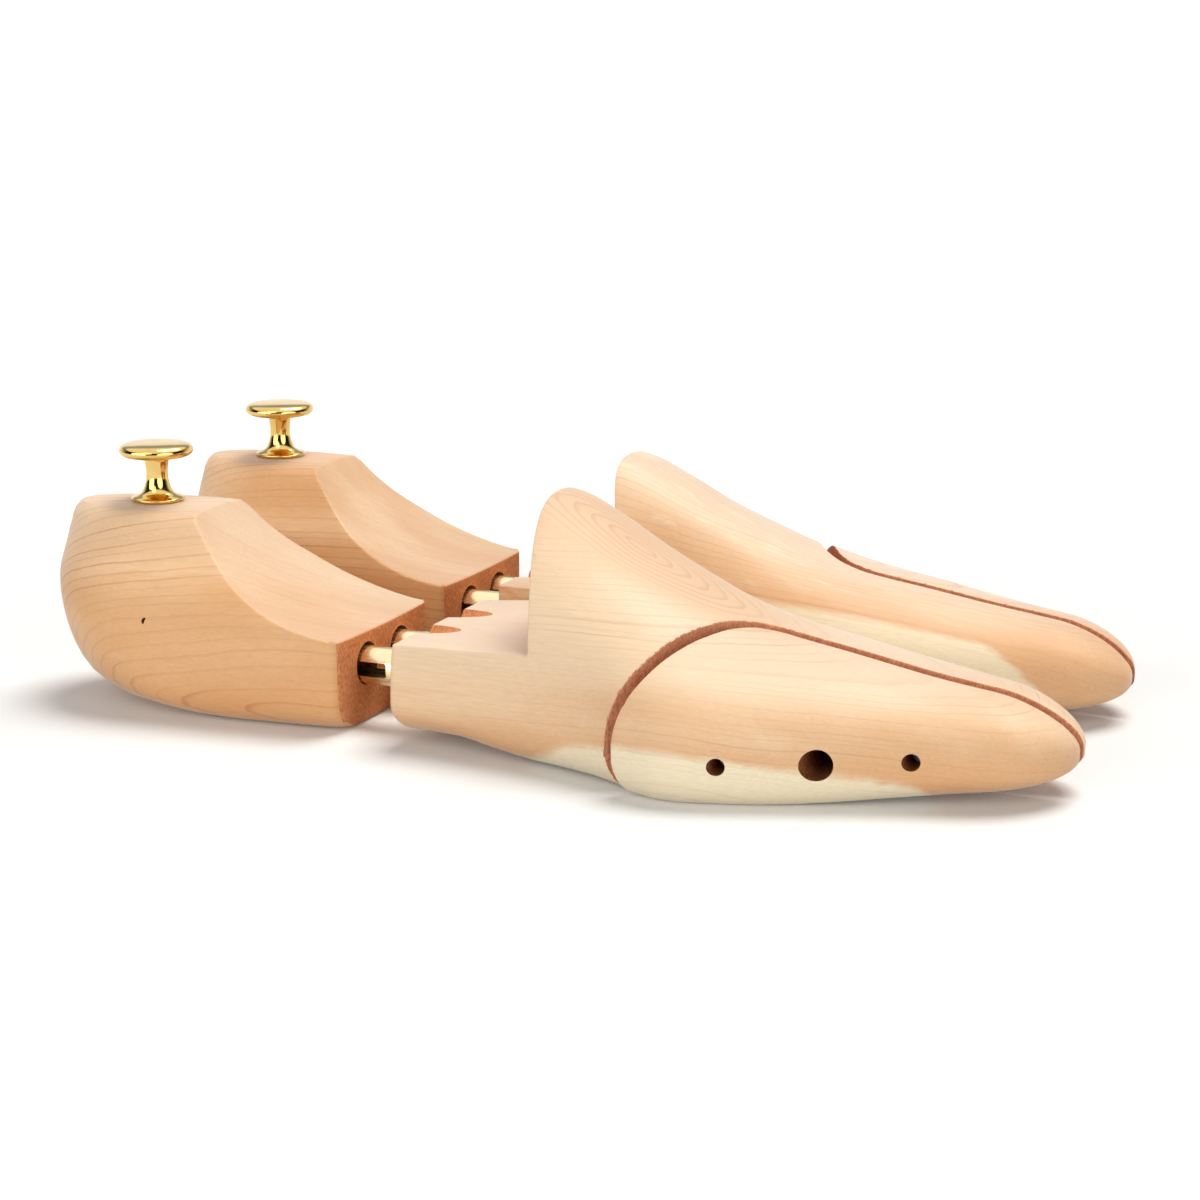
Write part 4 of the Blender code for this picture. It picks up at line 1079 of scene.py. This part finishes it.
def tube(side, name, across):
    outer, inner = TUBE_DIAMETER / 2, TUBE_DIAMETER / 2 - TUBE_WALL
    length, soft = TUBE_FRONT - TUBE_BACK, TUBE_EDGE
    profile = [
        (inner, length - soft), (inner + soft, length), (outer - soft, length),
        (outer, length - soft), (outer, soft), (outer - soft, 0),
        (inner + soft, 0), (inner, soft), (inner, length - soft),
    ]
    mesh = spun("tube", profile, 64)
    lie_down = Matrix.Rotation(pi / 2, 4, "Y")
    mesh.transform(Matrix.Translation((TUBE_BACK, across, TUBE_HEIGHT)) @ lie_down)
    low, high = TUBE_HEIGHT - SLOT_HEIGHT / 2, TUBE_HEIGHT + SLOT_HEIGHT / 2
    nick = SLOT_HEIGHT * SLOT_CORNER_SHARE
    back = -PIN_SETBACK - PIN_DIAMETER / 2 - FIT_CLEARANCE
    outline = [
        (back, low), (SLOT_SHOWN - nick, low), (SLOT_SHOWN, low + nick),
        (SLOT_SHOWN, high - nick), (SLOT_SHOWN - nick, high), (back, high),
    ]
    outline = [(x, 0, z) for x, z in outline]
    half = TUBE_DIAMETER / 2 + FIT_CLEARANCE
    slot = slab("slot", outline, (0, across - half, 0), (0, across + half, 0))
    mesh.materials.append(TUBE_BRASS)
    mesh = cut_away("tube", mesh, [(slot, TUBE_BRASS, "DIFFERENCE")])
    piece = add_piece(f"{name}_tube_brass", mesh, side, f"{side}_front", f"{side}_{name}_tube")


def coil(name, length, diameter, wire, turns):
    """Coil of round wire along Z, from 0 to length."""
    form = bmesh.new()
    made = bmesh.ops.create_circle(form, segments=10, radius=wire / 2)["verts"]
    pitch = (length - wire) / turns
    bmesh.ops.transform(
        form,
        verts=made,
        matrix=Matrix.Translation(((diameter - wire) / 2, 0, wire / 2))
        @ Matrix.Rotation(pi / 2, 4, "X"),
    )
    steps = 28 * turns
    bmesh.ops.spin(
        form, geom=form.verts[:] + form.edges[:], cent=(0, 0, 0), axis=(0, 0, 1),
        dvec=(0, 0, pitch * turns / steps), angle=2 * pi * turns, steps=steps,
        use_merge=False, use_duplicate=False,
    )
    bmesh.ops.holes_fill(form, edges=form.edges, sides=0)
    mesh = finished(name, form)
    mesh.materials.append(SPRING_STEEL)
    return mesh


def springs(side):
    start, end = -HEEL_BORE_DEPTH + FIT_CLEARANCE, TUBE_BACK - FIT_CLEARANCE
    for name, across in TUBES:
        mesh = coil("tube_spring", end - start, SPRING_DIAMETER, SPRING_WIRE, SPRING_TURNS)
        lie_down = Matrix.Rotation(pi / 2, 4, "Y")
        mesh.transform(Matrix.Translation((start, across, TUBE_HEIGHT)) @ lie_down)
        node = f"{side}_{name}_tube_spring"
        piece = add_piece(f"{name}_tube_coil", mesh, side, "heel_blocks", node, sharp=60)
        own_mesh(piece)
    x, z = TOE - TOE_SCREW_FROM_TOE, TOE_SCREW_HEIGHT
    near = kerf_centre(x) - KERF_WIDTH / 2 - SIDE_SPREAD + FIT_CLEARANCE
    floor = kerf_centre(x) + KERF_WIDTH / 2 + TOE_SPRING_POCKET - FIT_CLEARANCE
    length = floor - near
    mesh = coil("toe_spring", length, TOE_SPRING_DIAMETER, TOE_SPRING_WIRE, TOE_SPRING_TURNS)
    mesh.transform(Matrix.Translation((x, floor, z)) @ Matrix.Rotation(pi / 2, 4, "X"))
    piece = add_piece("toe_coil", mesh, side, f"{side}_front", f"{side}_toe_spring", sharp=60)
    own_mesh(piece)


for side in TREES:
    heel_block(side)
    forepart(side)
    side_piece(side)
    knob(side)
    for name, across in TUBES:
        tube(side, name, across)
    springs(side)
    for node, finish in (
        ("knob_screw", SCREW_ZINC),
        ("toe_screw", SCREW_ZINC),
        ("retaining_pin", PIN_STEEL),
        ("rear_guide_pin", PIN_STEEL),
        ("front_guide_pin", PIN_STEEL),
    ):
        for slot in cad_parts[f"{side}_{node}"].material_slots:
            slot.material = finish


def white_floor():
    mesh = bpy.data.meshes.new("floor")
    form = bmesh.new()
    bmesh.ops.create_grid(form, x_segments=1, y_segments=1, size=FLOOR_REACH)
    form.to_mesh(mesh)
    form.free()
    floor = bpy.data.objects.new("floor", mesh)
    floor.location = (0, 0, -FLOOR_DROP)
    bpy.context.scene.collection.objects.link(floor)
    finish, tree, shader = new_finish("matt_white_paper_painted_light")
    path = add(tree, "ShaderNodeLightPath").outputs
    shown = maths(tree, "MAXIMUM", path["Is Camera Ray"], path["Is Transmission Ray"])
    shown = maths(tree, "MAXIMUM", shown, path["Is Glossy Ray"])
    at = add(tree, "ShaderNodeTexCoord").outputs["Object"]
    away = add(tree, "ShaderNodeVectorMath", {"operation": "LENGTH"}, i0=at).outputs["Value"]
    # The floor glows to the lens, weakly near the pair and more strongly further out: painted light
    # that whitens the floor beyond the pair's shadows
    painted_glow = maths(tree, "MULTIPLY", shown, ranged(tree, away, 0.17, 0.42, 0.03, 0.14))
    # Darker to the wood than to the lens, so that little light bounces up under the forms
    tint = mixed(tree, shown, linear("#cfcfcf"), linear("#fcfeff"))
    tree.links.new(tint, shader.inputs["Base Color"])
    shader.inputs["Emission Color"].default_value = linear("#ffffff")
    tree.links.new(painted_glow, shader.inputs["Emission Strength"])
    shader.inputs["Roughness"].default_value = 0.9
    shader.inputs["Specular IOR Level"].default_value = 0.0
    mesh.materials.append(finish)


def studio():
    """Bright cyclorama behind, dim room in front, a softbox high up behind and three soft fills."""
    world = bpy.data.worlds.new("white_studio")
    bpy.context.scene.world = world
    world.use_nodes = True
    tree = world.node_tree
    back = tree.nodes["Background"]
    way = add(tree, "ShaderNodeTexCoord").outputs["Generated"]
    height = add(tree, "ShaderNodeSeparateXYZ", {}, Vector=way).outputs["Z"]
    behind = add(
        tree, "ShaderNodeVectorMath", {"operation": "DOT_PRODUCT"}, i0=way, i1=(-0.39, 0.92, 0.0)
    ).outputs["Value"]
    ceiling = ranged(tree, height, 0.25, 0.70)
    cyclorama = ranged(tree, behind, 0.05, 0.85)
    path = add(tree, "ShaderNodeLightPath").outputs
    seen = maths(tree, "MAXIMUM", path["Is Camera Ray"], path["Is Transmission Ray"])
    backdrop = maths(tree, "MULTIPLY", cyclorama, ranged(tree, height, 0.30, 0.38, 1.0, 0.10))
    tent = maths(tree, "MAXIMUM", backdrop, ranged(tree, height, 0.52, 0.60))
    seen = maths(tree, "MAXIMUM", seen, maths(tree, "MULTIPLY", path["Is Glossy Ray"], tent))
    lit = maths(tree, "MULTIPLY_ADD", cyclorama, 0.40, 0.02)
    lit = maths(tree, "MULTIPLY_ADD", ceiling, 0.06, lit)
    level = add(tree, "ShaderNodeMix", {"data_type": "FLOAT"}, i0=seen, i2=lit, i3=1.1).outputs[0]
    tree.links.new(level, back.inputs["Strength"])
    tree.links.new(mixed(tree, seen, linear("#e4edff"), linear("#ffffff")), back.inputs["Color"])

    def sun(name, azimuth, elevation, strength, softness, colour):
        lamp = bpy.data.lights.new(name, "SUN")
        lamp.energy = strength
        lamp.angle = radians(softness)
        lamp.color = linear(colour)[:3]
        made = bpy.data.objects.new(name, lamp)
        bpy.context.scene.collection.objects.link(made)
        a, e = radians(azimuth), radians(elevation)
        towards = Vector((sin(a) * cos(e), -cos(a) * cos(e), sin(e)))
        made.rotation_euler = towards.to_track_quat("Z", "Y").to_euler()

    sun("overhead_softbox", 158, 66, 2.38, 36, "#fffbf4")
    sun("high_fill", 0, 34, 0.42, 30, "#fffaf2")
    sun("left_fill", -25, 5, 1.70, 50, "#fffdfa")
    sun("right_fill", 60, 5, 1.50, 50, "#fffdfa")


def camera():
    lens = bpy.data.cameras.new("camera")
    lens.sensor_width = SENSOR_WIDTH
    lens.lens = FOCAL_LENGTH
    lens.clip_start = 0.01
    lens.clip_end = 50
    made = bpy.data.objects.new("camera", lens)
    bpy.context.scene.collection.objects.link(made)
    made.location = CAMERA_PLACE
    made.rotation_euler = (CAMERA_TILT, 0, CAMERA_TURN)
    bpy.context.scene.camera = made


white_floor()
studio()
camera()
bpy.context.scene.view_settings.view_transform = "Standard"
